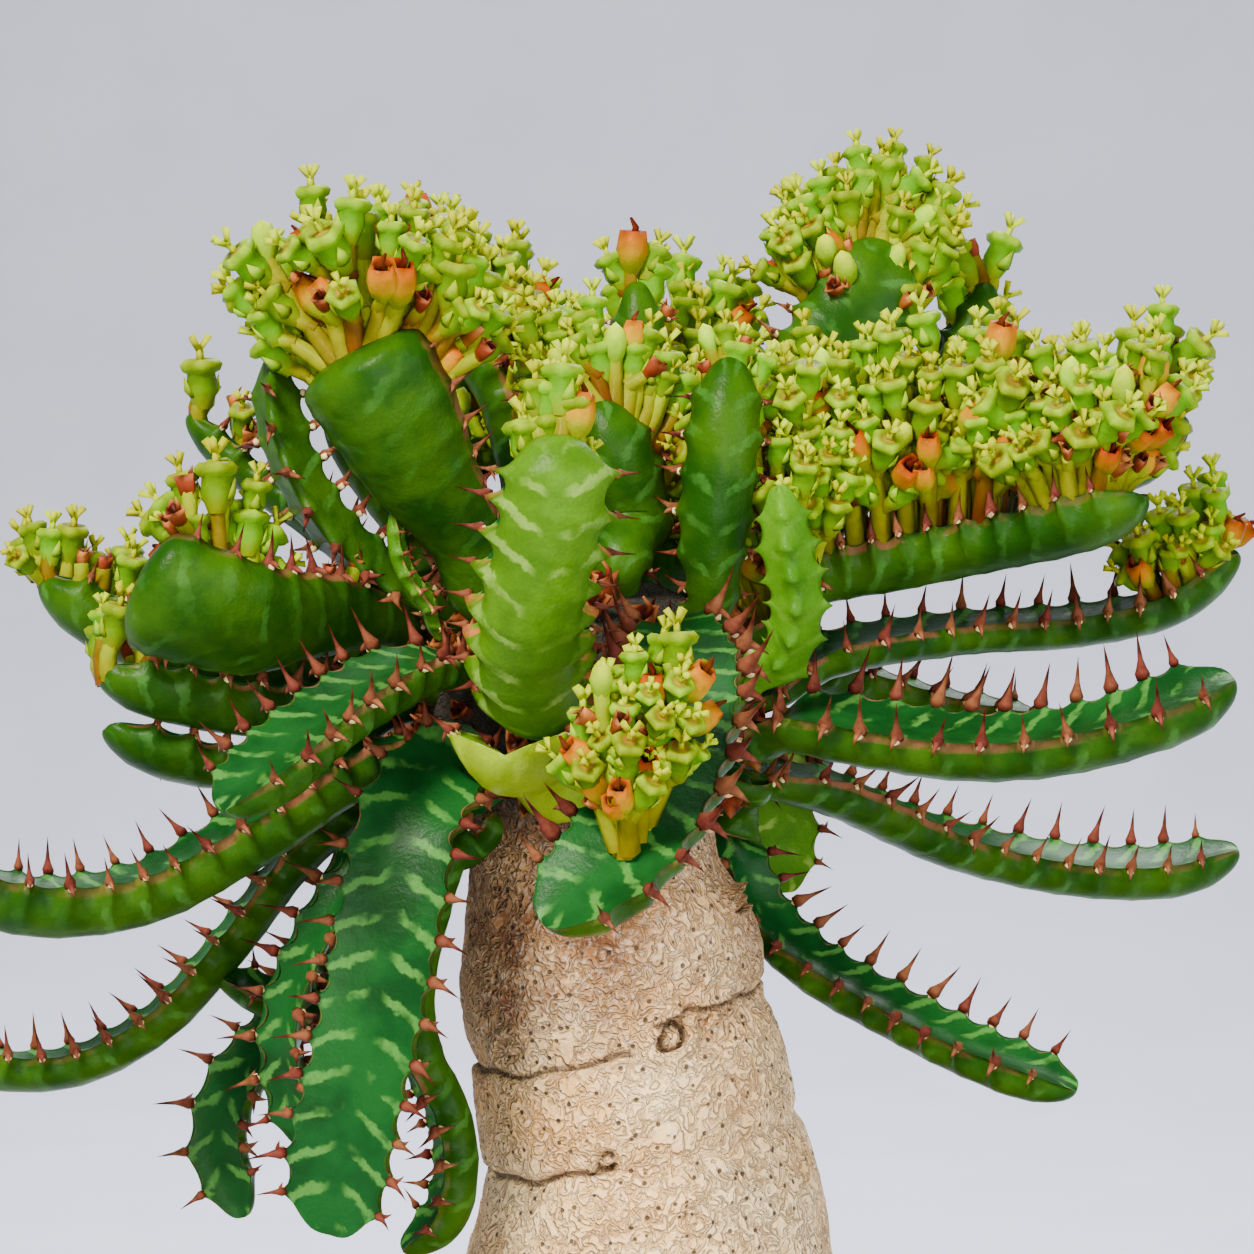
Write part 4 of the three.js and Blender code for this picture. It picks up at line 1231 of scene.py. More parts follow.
    @staticmethod
    def dried() -> Shape:
        """A shrivelled brown remnant.

        Returns:
            The shape.
        """
        shape = Shape()
        shape.turned(((-0.8, 0.6, "#6a4410"), (0.8, 1.3, "#7c3c14"), (2.4, 1.6, "#944c24"),
                      (3.6, 2.0, "#b06c3c"), (3.3, 1.3, "#4c1c0c"), (2.0, 0.0, "#100402")), 6,
                     (0, 0.2, 0.15, 0.4, 0.3, 0))
        shape.tube((((0.3, 0, 1.8), 0.5, "#3c1408"), ((0.9, 0.4, 3.8), 0.4, "#6a3418"),
                    ((0.5, 1.2, 4.8), 0.15, "#a87040")), 3)
        return shape


@dataclass
class Organ:
    """One organ that stands on an arm or on the crown."""

    kind: str
    foot: Vector
    aim: Vector
    side: Vector
    size: float = 1.0
    age: float = 0.0


class ArmBuilder:
    """Builds the finished piece of one arm: skin, thorns, stalks and cyathia."""

    # Millimetres between the flowers of a layer and between layers
    FLOWER_SPACE = 4.9
    LAYER_SPACE = 5.4
    # Length that a cyathium adds to its stalk, and how deep the stalk's foot is sunk
    CAP_LENGTH = 5.0
    STALK_FOOT = 1.2
    STALK_SIDES = 6
    STALK_COLOURS = ("#869804", "#5c2c08")
    # How far the outer stalks stand from the arm's edge
    STALK_INSET = 2.2
    # A stem's pull to the arm's upper face, its lean to the side and its unevenness
    STEM_PULL, STEM_LEAN, STEM_JITTER = 0.2, 0.7, 0.09
    # Heights of the stems, also of those at the side, against the cyme's own
    STEM_HEIGHTS = (0.84, 1.05)
    SIDE_HEIGHT = 0.6
    SHORTEST_STALK = 1.5
    STALK_RADII = [1.25, 0.95, 0.9]
    # Side branches: lowest place on the stem, turn, lean, reach, foot and steps between layers
    LOWEST_BRANCH = 0.13
    BRANCH_TURNS, BRANCH_LEANS, BRANCH_REACH = (0.3, 1.0), (0.7, 1.2), (1.2, 2.2)
    BRANCH_FOOT = 1.6
    BRANCH_RADII = [1.0, 0.8]
    LAYER_STEPS = (0.8, 1.15)
    # How far a thorn shield is sunk and leans forward, its unevenness and sizes, and the length
    # of tip on which the thorns shrink to half
    THORN_SINK, THORN_LEAN, THORN_JITTER = 0.35, 0.12, 0.14
    THORN_SIZES = (0.8, 1.1)
    YOUNG_LENGTH = 9.0
    # Sizes of the cyathia, and of a shrivelled one against a fresh one
    FLOWER_SIZES = (0.85, 1.08)
    DRIED_SIZE = 0.8
    NOTCH_LIMIT = 0.5
    SKIN_SWELL = 0.03
    SKIN_ROUGHNESS = 0.08
    BUD_SHARE = 0.08
    # Share of orange cups among spent organs, in a usual cyme and in a wholly dry one
    CUP_SHARES = (0.4, 0.12)
    # Share of spent organs in the layers below the top, and how brown a stalk is
    LAYER_WEAR = (0.25, 0.5, 0.8)
    STALK_TONES = (0.0, 0.1, 0.25, 0.6)
    OPEN_KINDS = ("open_tall", "open_wide", "open_low")

    def __init__(self, plant: "Plant", arm: Arm) -> None:
        """Draws the arm's rail.

        Args:
            plant: The plant that carries the arm, with its trees and finishes.
            arm: The arm's sizes.
        """
        self.plant = plant
        self.arm = arm
        self.rail = Rail(arm)
        self.draw = random.Random(arm.name)
        self.organs: list[Organ] = []
        self.stalks: list[tuple[list[Vector], list[float], float]] = []
        self.teeth = 2 * max(2, round(self.rail.length / (arm.pitch * arm.size)))

    def skin(self) -> Mesh:
        """Grows the toothed skin.

        Returns:
            The skin's mesh.
        """
        count = self.teeth * SkinTree.RINGS_PER_TOOTH
        places = [i / count for i in range(count)]
        # Rings draw together towards the round tip
        places += [1 - (1 / count) * 0.5 ** k for k in range(1, 4)] + [1.0]
        stations = [self.rail.station(self.rail.length * p) for p in places]
        wide, deep = self.arm.width, self.arm.depth
        shut = [s.fullness if 0 < i < len(stations) - 1 else 0.0 for i, s in enumerate(stations)]
        base = points_mesh(self.arm.name, [s.centre for s in stations],
                           {"across": [s.across * wide * f for s, f in zip(stations, shut)],
                            "up": [s.up * deep * f for s, f in zip(stations, shut)]},
                           {"phase": [p * self.teeth for p in places]})
        return grown(self.plant.skins[self.arm.section].tree, base, {
            "Rings": len(places), "Notch": min(self.NOTCH_LIMIT, self.arm.cut / (wide / 2)),
            "Swell": self.SKIN_SWELL, "Roughness": self.SKIN_ROUGHNESS,
            "Skin": self.plant.skin_finishes[self.arm.age]})

    def ridge(self, station: Station, turn: float) -> Vector:
        """The point of the skin at a turn around a station.

        Args:
            station: The place on the arm's middle line.
            turn: Angle from the right edge, over the upper face.

        Returns:
            The point there.
        """
        wide, high, _ = self.arm.section.at(turn)
        return station.beside(wide * self.arm.width, high * self.arm.depth)

    def add_thorns(self) -> None:
        """Sets a thorn shield on each tooth."""
        if self.arm.is_spineless:
            return
        turns = [0.0, math.pi]
        if self.arm.section is Section.THREE_EDGED:
            turns.append(1.5 * math.pi)
        for tooth in range(2, self.teeth):
            station = self.rail.station(self.rail.length * tooth / self.teeth)
            for turn in turns:
                edge = Vector((math.cos(turn), math.sin(turn)))
                out = station.across * edge.x + station.up * edge.y
                # Spines of the third edge stand straight out
                lift = self.arm.lift if turn <= math.pi else 0.0
                aim = out * (1 - lift) + station.up * lift + station.along * self.THORN_LEAN
                aim += self.scatter(self.THORN_JITTER)
                grow = smoothstep(self.rail.length - station.distance, 0, self.YOUNG_LENGTH)
                size = self.arm.size * self.arm.spine
                size *= lerp(0.5, self.draw.uniform(*self.THORN_SIZES), grow)
                foot = self.ridge(station, turn) - out * self.THORN_SINK
                side = (out - station.up * 0.3).normalized()
                self.organs.append(Organ("thorn", foot, aim.normalized(), side, size,
                                         self.draw.random()))

    def scatter(self, amount: float) -> Vector:
        """A small random vector."""
        return Vector([self.draw.uniform(-amount, amount) for _ in range(3)])

    def add_head(self, head: Head) -> None:
        """Fills the envelope of a cyme with stalks and cyathia.

        Args:
            head: Where it is and how tall.
        """
        length = self.rail.length * (head.end - head.start)
        space = self.FLOWER_SPACE * head.size
        columns = max(2, round((length + head.fan * head.tall * 0.7) / space) + 1)
        width = self.arm.width * head.spread
        rows = max(2, round((width * 0.8 + head.tall * 0.65) / space))
        for column in range(columns):
            place = column / (columns - 1)
            for row in range(rows):
                share = lerp(-1, 1, (row + 0.5 * (column % 2)) / (rows - 0.5))
                is_edge = column in (0, columns - 1) or row in (0, rows - 1)
                self.add_stem(head, place, share, is_edge)

    def add_stem(self, head: Head, place: float, share: float, is_edge: bool) -> None:
        """Grows one stem of a cyme with the cyathia that it carries.

        Args:
            head: The cyme.
            place: Share of the way along the cyme.
            share: Share of the way from its middle to its side.
            is_edge: Whether it stands at the edge of the cyme, where it carries twice as many.
        """
        station = self.rail.station(self.rail.length * lerp(head.start, head.end, place))
        inset = self.arm.width / 2 - self.STALK_INSET
        rise = lerp(TROUGH_HEIGHT, EDGE_HEIGHT, abs(share))
        foot = station.beside(share * inset * head.spread, rise * self.arm.depth)
        level_way = Vector((station.along.x, station.along.y, 0)).normalized()
        lean = head.splay or self.STEM_LEAN * min(1, head.spread)
        stem = (Vector((0, 0, 1)) + station.up * self.STEM_PULL
                + station.across * share * lean + level_way * head.fan * (place - 0.5)
                + self.scatter(self.STEM_JITTER)).normalized()
        tall = head.tall * (1 + head.fall * (1 - 2 * place))
        tall *= lerp(1, self.SIDE_HEIGHT, share ** 2)
        tall *= self.draw.uniform(*self.STEM_HEIGHTS)
        middle = self.rail.station(self.rail.length * (head.start + head.end) / 2).centre
        out = Vector((foot.x - middle.x, foot.y - middle.y - 0.5, 0)).normalized()
        cap = self.CAP_LENGTH * head.size
        top = foot + stem * max(self.SHORTEST_STALK, tall - cap)
        tone = self.draw.choice(self.STALK_TONES)
        self.stalks.append(([foot - stem * self.STALK_FOOT, foot.lerp(top, 0.5) + out * 0.5,
                             top + stem * 0.6], self.STALK_RADII, tone))
        self.add_flower(top, Vector((0, 0, 0.5)) + stem + self.scatter(0.3), head, 0.0)
        layer = self.LAYER_SPACE * head.size
        level = tall - cap - layer * self.draw.uniform(0.5, 1.0)
        step = 0
        while level > self.LOWEST_BRANCH * head.tall and (is_edge or step < 2):
            at = foot + stem * level
            for hand in (1, -1)[:2 if is_edge else 1]:
                turn = self.draw.uniform(*self.BRANCH_TURNS) * hand
                way = Matrix.Rotation(turn, 3, "Z") @ out
                aim = way * self.draw.uniform(*self.BRANCH_LEANS) + Vector((0, 0, 0.9))
                aim += self.scatter(0.3)
                base = at + way * self.draw.uniform(*self.BRANCH_REACH) + self.scatter(0.6)
                self.stalks.append(([at - stem * self.BRANCH_FOOT, base], self.BRANCH_RADII,
                                    tone))
                self.add_flower(base, aim, head, self.LAYER_WEAR[min(2, step)])
            level -= layer * self.draw.uniform(*self.LAYER_STEPS)
            step += 1

    def add_flower(self, foot: Vector, aim: Vector, head: Head, wear: float) -> None:
        """Adds one cyathium, bud or remnant.

        Args:
            foot: Where it stands.
            aim: Where it points.
            head: The cyme that it belongs to.
            wear: Share of spent organs at its level, beyond the cyme's own.
        """
        if self.draw.random() < head.dry + wear:
            share = self.CUP_SHARES[head.dry >= 0.9]
            kind = "old" if self.draw.random() < share else "dried"
        elif self.draw.random() < self.BUD_SHARE:
            kind = "bud"
        else:
            kind = self.draw.choice(self.OPEN_KINDS)
        side = Vector((self.draw.uniform(-1, 1), self.draw.uniform(-1, 1), 0.1))
        size = head.size * self.draw.uniform(*self.FLOWER_SIZES)
        size *= self.DRIED_SIZE if kind == "dried" else 1.0
        self.organs.append(Organ(kind, foot, aim.normalized(), side.normalized(), size,
                                 self.draw.random()))

    def stalk_mesh(self) -> Mesh:
        """All the stalks of the arm's cymes, brown at the foot and green above; the brown at the
        foot is partly painted shade of the cyme's dark inside.

        Returns:
            Their mesh.
        """
        places, thick, tones, edges = [], [], [], []
        for path, radii, tone in self.stalks:
            start = len(places)
            places += path
            thick += radii
            # Browner towards the foot: real dry stalk, with painted shade of the cyme's dark
            # inside
            tones += [min(1.0, tone + 0.45 * (1 - i / (len(path) - 1))) for i in range(len(path))]
            edges += [(start + i, start + i + 1) for i in range(len(path) - 1)]
        base = points_mesh("stalks", places, {}, {
            "thick": thick, "tone": tones, "age": [self.draw.random() for _ in places]}, edges)
        made = grown(self.plant.stalk.tree, base,
                     {"Sides": self.STALK_SIDES, "Finish": self.plant.flower})
        layer = made.attributes.new("paint", "FLOAT_COLOR", "POINT")
        tones = [0.0] * len(made.vertices)
        made.attributes["tone"].data.foreach_get("value", tones)
        green, brown = (Vector(linear(code)) for code in self.STALK_COLOURS)
        layer.data.foreach_set("color", [c for t in tones for c in green.lerp(brown, t)])
        return made

    def build(self) -> bpy.types.Object:
        """Builds the arm's finished piece.

        Returns:
            The piece.
        """
        self.add_thorns()
        for head in self.arm.heads:
            self.add_head(head)
        meshes = [self.skin()]
        if self.stalks:
            meshes.append(self.stalk_mesh())
        for kind in self.plant.shop.masters:
            organs = [organ for organ in self.organs if organ.kind == kind]
            if organs:
                meshes.append(self.plant.copies(organs))
        return piece(f"{self.arm.name}_grown", meshes, self.arm.name)


# ---- Caudex, soil and pot ----


@dataclass
class Caudex:
    """The swollen woody stem with its two girdling grooves and scars."""

    columns: int = 200
    coarse_step: float = 3.0
    fine_from: float = 76.0
    fine_step: float = 0.37
    groove_tilt: float = 0.2
    relief: float = 0.42
    wrinkle: float = 2.6
    # Heights between which each of these sets in or ends
    tilt_start: tuple[float, float] = (118, 130)
    tilt_end: tuple[float, float] = (152, 168)
    rough_start: tuple[float, float] = (72, 80)
    rough_end: tuple[float, float] = (186, 196)
    crown_shade_start: tuple[float, float] = (166, 175)
    shade_and_browning_start: tuple[float, float] = (139, 154)
    # X between which the painted shade of the arms thins out
    shade_and_browning_end: tuple[float, float] = (-2, 11)
    # Ring scars: X and height of the middle, ring radius and how far the ring stands out
    scars: tuple[tuple[float, float, float, float], ...] = (
        (2.4, 146.0, 2.3, 1.1), (5.9, 147.2, 1.2, 0.8), (8.0, 147.4, 0.9, 0.8),
        (-4.8, 134.2, 1.7, 0.8), (-0.4, 152.6, 2.8, 0.3), (-3.6, 152.0, 1.4, 0.25),
        (10.6, 158.6, 1.6, 0.9), (-15.6, 147.6, 1.9, 0.5), (4.5, 126.6, 1.6, 0.6),
    )
    # Girdling folds: height, first and last X
    folds: tuple[tuple[float, float, float], ...] = (
        (144.9, -99, 1.0), (147.9, 5.0, 99), (132.9, -99, -3.5),
    )

    def rows(self) -> list[float]:
        """Heights of the mesh's rings, close together where the bark shows.

        Returns:
            The heights, from the root up.
        """
        first, last = CAUDEX_OUTLINE[0][0], CAUDEX_OUTLINE[-1][0]
        coarse = int((self.fine_from - first) / self.coarse_step)
        fine = int((last - self.fine_from) / self.fine_step)
        return ([first + i * (self.fine_from - first) / coarse for i in range(coarse)]
                + [self.fine_from + i * (last - self.fine_from) / fine for i in range(fine + 1)])

    def base(self) -> Mesh:
        """The smooth body, with roughness, scars and grooves in its points.

        Returns:
            The body's mesh.
        """
        shape = Shape()
        rings = []
        rows = self.rows()
        for i, height in enumerate((rows[0], *rows, rows[-1])):
            radius = outline_at(height, 1) if 0 < i <= len(rows) else 0.0
            rings.append(shape.ring(Vector((outline_at(height, 2), 0, height)), radius, X_AXIS,
                                    Y_AXIS, self.columns, linear("#ffffff")))
        shape.bridge(rings, self.columns)
        painted = {name: [] for name in ("rough", "scar", "crack", "green", "dusk")}
        for point in shape.points:
            height = point.z
            x = point.x - outline_at(height, 2)
            fold = sum(self.fold_depth(point, x, row) for row in self.folds)
            lifts = [self.scar_height(point, row) for row in self.scars]
            painted["rough"].append(smoothstep(height, *self.rough_start)
                                    * (1 - 0.6 * smoothstep(height, *self.rough_end)))
            painted["scar"].append(sum(lifts) - fold)
            # Darker where the folds and scar ditches sink in
            painted["crack"].append(fold * 1.3 + max(0.0, -1.1 * min(lifts)))
            # Painted shade: the crown between the arms turns near black
            painted["green"].append(smoothstep(height, *self.crown_shade_start))
            # Painted shade of the arms on the upper bark, with some real browning; it thins out to
            # the right
            painted["dusk"].append(smoothstep(height, *self.shade_and_browning_start)
                                   * (1 - 0.4 * smoothstep(x, *self.shade_and_browning_end)))
            # The grooved part of the stem is tilted, and the tilt fades below and above it
            tilted = (smoothstep(height, *self.tilt_start)
                      * (1 - smoothstep(height, *self.tilt_end)))
            point.z += self.groove_tilt * tilted * x
        made = shape.mesh("caudex")
        for name, values in painted.items():
            made.attributes.new(name, "FLOAT", "POINT").data.foreach_set("value", values)
        return made

    @staticmethod
    def fold_depth(point: Vector, x: float, fold: tuple[float, float, float]) -> float:
        """How deep a girdling fold cuts one point of the body.

        Args:
            point: The point.
            x: Its distance to the right of the caudex's own middle.
            fold: The fold's height, first and last X.

        Returns:
            The depth in millimetres.
        """
        height, start, end = fold
        deepest, half_width, fade = 0.7, 0.38, 2
        ends = smoothstep(x, start - fade, start) * (1 - smoothstep(x, end, end + fade))
        turn = math.atan2(point.y, x)
        wander = 0.35 * math.sin(5 * turn + height) + 0.22 * math.sin(13 * turn)
        return deepest * ends * math.exp(-((point.z + wander - height) / half_width) ** 2)

    @staticmethod
    def scar_height(point: Vector, scar: tuple[float, float, float, float]) -> float:
        """How far a ring scar lifts or sinks one point of the front.

        Args:
            point: The point.
            scar: The scar's X, height, ring radius and strength.

        Returns:
            The lift in millimetres, below nothing where it sinks.
        """
        x, height, radius, amount = scar
        if point.y > 0:
            return 0.0
        lip_width, ditch_width = 0.55, 0.42
        turn = math.atan2(point.z - height, point.x - x)
        distance = math.hypot(point.x - x, point.z - height) * (1 + 0.1 * math.sin(3 * turn))
        lip = math.exp(-((distance - radius) / lip_width) ** 2) * (1.1 + 0.5 * math.sin(turn))
        ditch = math.exp(-((distance - 0.55 * radius) / ditch_width) ** 2)
        knob = math.exp(-(distance / (0.4 * radius)) ** 2)
        return amount * (lip - 1.1 * ditch + 0.8 * knob)

    def build(self, litter: Sequence[Mesh]) -> bpy.types.Object:
        """Builds the finished caudex.

        Args:
            litter: Meshes of the dead stubs and spines on its crown.

        Returns:
            The caudex's piece.
        """
        finish = BarkFinish().material()
        made = grown(BarkTree().tree, self.base(),
                     {"Relief": self.relief, "Wrinkle": self.wrinkle, "Finish": finish})
        return piece("caudex_bark", [made, *litter], "caudex")


@dataclass
class Soil:
    """Gritty soil that fills the pot, mounded a little towards the caudex."""

    edge_top: float = 78.0
    mound_top: float = 81.0
    # How far the mound drops into the hole around the caudex
    lip_drop: float = 0.5
    floor: float = 6.3
    slope_rings: int = 24
    hole_step: int = 4
    grit: float = 0.35
    columns: int = 96

    def build(self, wall: "Pot") -> bpy.types.Object:
        """Builds the finished soil.

        Args:
            wall: The pot that it fills.

        Returns:
            The soil's piece.
        """
        shape = Shape()
        root_end, root_radius, _ = CAUDEX_OUTLINE[0]
        reach = wall.inner(self.edge_top) - CLEARANCE
        rim = outline_at(self.edge_top, 1) + CLEARANCE
        outline = [(self.floor, 0.0), (self.floor, wall.inner(self.floor) - CLEARANCE),
                   (self.edge_top, reach)]
        for i in range(1, self.slope_rings):
            share = i / self.slope_rings
            height = lerp(self.edge_top, self.mound_top, smoothstep(share, 0, 1))
            outline.append((height, lerp(reach, rim, share)))
        outline.append((self.mound_top - self.lip_drop, rim))
        # The plain hole follows the caudex down to the end of its root
        heights = range(root_end + 2, int(self.edge_top) + 2, self.hole_step)
        outline += [(h, outline_at(h, 1) + CLEARANCE) for h in reversed(heights)]
        outline += [(root_end - CLEARANCE, root_radius + CLEARANCE), (root_end - CLEARANCE, 0.0)]
        shape.turned([(h, r, GritFinish.humus) for h, r in outline], self.columns)
        draw = random.Random("grit")
        for point in shape.points:
            if point.z > self.edge_top + 0.2 and point.xy.length > rim + 1:
                point.z += draw.uniform(-self.grit, self.grit)
        made = shape.mesh("soil")
        made.materials.append(GritFinish().material())
        return piece("soil_mound", [made], "soil")


@dataclass
class Pot:
    """A plain clay flower pot with a collar and four drain holes."""

    height: float = 88.0
    foot_radius: float = 38.0
    rim_radius: float = 56.0
    collar_height: float = 16.0
    collar_step: float = 2.5
    collar_ease: float = 0.3
    collar_taper: float = 0.4
    wall: float = 4.0
    floor: float = 6.0
    floor_bevel: float = 3.0
    edge: float = 1.2
    holes: int = 4
    hole_circle: float = 20.0
    hole_radius: float = 4.0
    hole_sides: int = 32
    # How far the drill stands out of the floor on each side
    drill_reach: float = 2.0
    sharp_angle: float = 40.0
    columns: int = 128

    def outer(self, height: float) -> float:
        """Outer radius of the wall under the collar, at a height."""
        top = self.rim_radius - self.collar_step
        return lerp(self.foot_radius, top, height / self.height)

    def inner(self, height: float) -> float:
        """Inner radius of the wall at a height."""
        return self.outer(height) - self.wall

    def outline(self) -> list[tuple[float, float]]:
        """The wall's section from the middle of the foot round to the middle of the floor.

        Returns:
            Heights and radii.
        """
        edge = self.edge
        collar = self.height - self.collar_height
        rows = [(0.0, 0.0), (0.0, self.foot_radius - edge)]
        rows += self.corner(self.foot_radius - edge, edge, edge, -90, 0)
        ease = self.collar_ease
        rows += [(collar - edge, self.outer(collar)), (collar, self.outer(collar) + ease)]
        rows += self.corner(self.rim_radius - edge - self.collar_taper, collar + edge, edge,
                            -90, 0)
        rows += self.corner(self.rim_radius - edge, self.height - edge, edge, 0, 90)
        rows += self.corner(self.inner(self.height) + edge, self.height - edge, edge, 90, 180)
        bevel = self.floor_bevel
        rows += [(collar, self.inner(collar))]
        rows += [(self.floor + bevel, self.inner(self.floor + bevel))]
        rows += [(self.floor, self.inner(self.floor) - bevel), (self.floor, 0.0)]
        return rows

    @staticmethod
    def corner(radius: float, height: float, round_off: float, start: float,
               end: float) -> list[tuple[float, float]]:
        """A rounded corner of the section, as heights and radii.

        Args:
            radius: Radius of the corner's centre.
            height: Height of the corner's centre.
            round_off: The corner's own radius.
            start: First angle in degrees.
            end: Last angle in degrees.

        Returns:
            Five points of the corner.
        """
        turns = [math.radians(lerp(start, end, i / 4)) for i in range(5)]
        return [(height + round_off * math.sin(t), radius + round_off * math.cos(t))
                for t in turns]

    def build(self) -> bpy.types.Object:
        """Builds the finished pot.

        Returns:
            The pot's piece.
        """
        shape = Shape()
        shape.turned([(h, r, ClayFinish.body) for h, r in self.outline()], self.columns)
        made = shape.mesh("pot")
        made.materials.append(ClayFinish().material())
        host = placed("pot", made)
        drill = Shape()
        drill.turned([(h, r, ClayFinish.body) for h, r in (
            (-self.drill_reach, 0), (-self.drill_reach, self.hole_radius),
            (self.floor + self.drill_reach, self.hole_radius),
            (self.floor + self.drill_reach, 0))], self.hole_sides)
        bits = []
        for i in range(self.holes):
            turn = 2 * math.pi * (i + 0.5) / self.holes
            bit = placed("drill", drill.mesh("drill"))
            bit.location = self.hole_circle * Vector((math.cos(turn), math.sin(turn), 0))
            bits.append(bit)
            cut = host.modifiers.new("drain", "BOOLEAN")
            cut.operation, cut.object, cut.solver = "DIFFERENCE", bit, "EXACT"
        graph = bpy.context.evaluated_depsgraph_get()
        bored = bpy.data.meshes.new_from_object(host.evaluated_get(graph), depsgraph=graph)
        for each in (host, *bits):
            bpy.data.objects.remove(each)
        bored.shade_smooth()
        bored.set_sharp_from_angle(angle=math.radians(self.sharp_angle))
        return piece("pot_clay", [bored], "pot")


# ---- The whole plant and its studio ----


class Plant:
    """All the arms, with the trees and finishes that they share."""

    # Dead stubs and old spines on the crown: how many, where, how deep and how large
    LITTER_COUNTS = (("dried", 90), ("thorn", 110))
    LITTER_HEIGHTS = (172, 196.5)
    LITTER_SINK = 0.4
    LITTER_SIZES = (0.55, 1.0)

    def __init__(self, arms: Iterable[Arm]) -> None:
        """Makes the shared trees, finishes and organs.

        Args:
            arms: The arms to build.
        """
        self.arms = tuple(arms)
        self.skins = {section: SkinTree(section) for section in Section}
        self.scatter = ScatterTree()
        self.stalk = StalkTree()
        self.shop = OrganShop()
        looks = {Age.GROWN: ADULT_SKIN, Age.SUNLIT: PAINTED_LIT_SKIN, Age.GROWING: GROWING_SKIN,
                 Age.YOUNG: YOUNG_SKIN}
        self.skin_finishes = {age: look.material() for age, look in looks.items()}
        self.thorn = THORN_FINISH.material()
        self.flower = FLOWER_FINISH.material()

    def litter(self) -> list[Mesh]:
        """Dead stubs and old spines that stand on the crown between the arms.

        Returns:
            A mesh of each kind.
        """
        draw = random.Random("litter")
        made = []
        for kind, count in self.LITTER_COUNTS:
            organs = []
            for _ in range(count):
                skin, outward, normal = caudex_skin(draw.uniform(0, 2 * math.pi),
                                                    draw.uniform(*self.LITTER_HEIGHTS))
                spread = Vector([draw.uniform(-0.5, 0.5) for _ in range(3)])
                aim = (normal + Vector((0, 0, 0.4)) + spread).normalized()
                organs.append(Organ(kind, skin - outward * self.LITTER_SINK, aim,
                                    Vector((-outward.y, outward.x, 0.2))))
            for organ in organs:
                organ.size = draw.uniform(*self.LITTER_SIZES)
            for organ in organs:
                organ.age = draw.random()
            made.append(self.copies(organs))
        return made

    def copies(self, organs: Sequence[Organ]) -> Mesh:
        """Sets copies of the shop's master where organs stand.

        Args:
            organs: The organs, all of one kind.

        Returns:
            The copies' mesh.
        """
        kind = organs[0].kind
        base = points_mesh(kind, [o.foot for o in organs],
                           {"aim": [o.aim for o in organs], "side": [o.side for o in organs]},
                           {"size": [o.size for o in organs], "age": [o.age for o in organs]})
        finish = self.thorn if kind == "thorn" else self.flower
        return grown(self.scatter.tree, base,
                     {"Shape": self.shop.objects[kind], "Finish": finish})

    def build(self) -> None:
        """Builds every arm."""
        for arm in self.arms:
            ArmBuilder(self, arm).build()
        for master in self.shop.objects.values():
            bpy.data.objects.remove(master)


@dataclass(frozen=True)
class Lamp:
    """A soft square lamp, in metres, watts and degrees."""

    name: str
    place: Place
    size: float
    power: float
    tint: str
    target: Place = VIEW_TARGET
    spread: float = 180.0

    def hang(self) -> None:
        """Hangs the lamp, facing its target."""
        light = bpy.data.lights.new(self.name, "AREA")
        light.shape, light.size, light.energy = "SQUARE", self.size, self.power
        light.color = linear(self.tint)[:3]
        light.spread = math.radians(self.spread)
        lamp = placed(self.name, light)
        lamp.location = self.place
        aim = Vector(self.target) - Vector(self.place)
        lamp.rotation_euler = aim.to_track_quat("-Z", "Y").to_euler()


@dataclass(frozen=True)
class Studio:
    """Grey paper sweep, soft lamps and the camera of the photograph."""

    target: Place = VIEW_TARGET
    distance: float = 0.45
    elevation: float = 4.0
    view_width: float = 0.14421
    sensor: float = 36.0
    sky: str = "#dfe4ee"
    sky_strength: float = 0.42
    lamps: tuple[Lamp, ...] = (
        Lamp("key", (-0.55, -0.95, 1.15), 0.35, 62, "#fff4e6"),
        Lamp("fill", (0.95, -0.85, 0.4), 0.9, 15, "#f8f8ff"),
        Lamp("back", (0.2, 0.75, 1.0), 0.6, 14, "#ffffff"),
        Lamp("front", (0.1, -1.25, 0.25), 0.5, 10, "#fff8f0"),
        Lamp("floor", (0.0, 0.5, 0.8), 0.5, 4, "#f4f6ff", (0.0, 0.5, 0.0), 80),
    )

    def camera(self) -> None:
        """Sets up the camera."""
        lens = bpy.data.cameras.new("camera")
        lens.sensor_width = self.sensor
        lens.lens = self.sensor * self.distance / self.view_width
        lens.clip_start = 0.01
        camera = placed("camera", lens)
        tilt = math.radians(self.elevation)
        towards = Vector((0, math.cos(tilt), -math.sin(tilt)))
        camera.location = Vector(self.target) - towards * self.distance
        camera.rotation_euler = towards.to_track_quat("-Z", "Y").to_euler()
        bpy.context.scene.camera = camera

    def sweep(self) -> None:
        """Lays the paper: a floor that curves up to a wall behind the plant."""
        half, near, far, high, bend = 2.4, -2.4, 1.2, 2.6, 0.5
        profile = [(near, 0.0), (far - bend, 0.0)]
        for i in range(1, 17):
            turn = math.pi / 2 * i / 16
            profile.append((far - bend + bend * math.sin(turn), bend - bend * math.cos(turn)))
        profile.append((far, high))
        points = [(x, y, z) for y, z in profile for x in (-half, half)]
        faces = [(2 * i, 2 * i + 1, 2 * i + 3, 2 * i + 2) for i in range(len(profile) - 1)]
        mesh = bpy.data.meshes.new("paper_sweep")
        mesh.from_pydata(points, [], faces)
        mesh.shade_smooth()
        mesh.materials.append(PaperFinish().material())
        placed("paper_sweep", mesh)

    def world(self) -> None:
        """Fills the room with an even cool light."""
        world = bpy.data.worlds.new("studio")
        world.use_nodes = True
        sky = world.node_tree.nodes["Background"]
        sky.inputs["Color"].default_value = linear(self.sky)
        sky.inputs["Strength"].default_value = self.sky_strength
        bpy.context.scene.world = world

    def build(self) -> None:
        """Builds the studio."""
        self.camera()
        self.sweep()
        self.world()
        for lamp in self.lamps:
            lamp.hang()


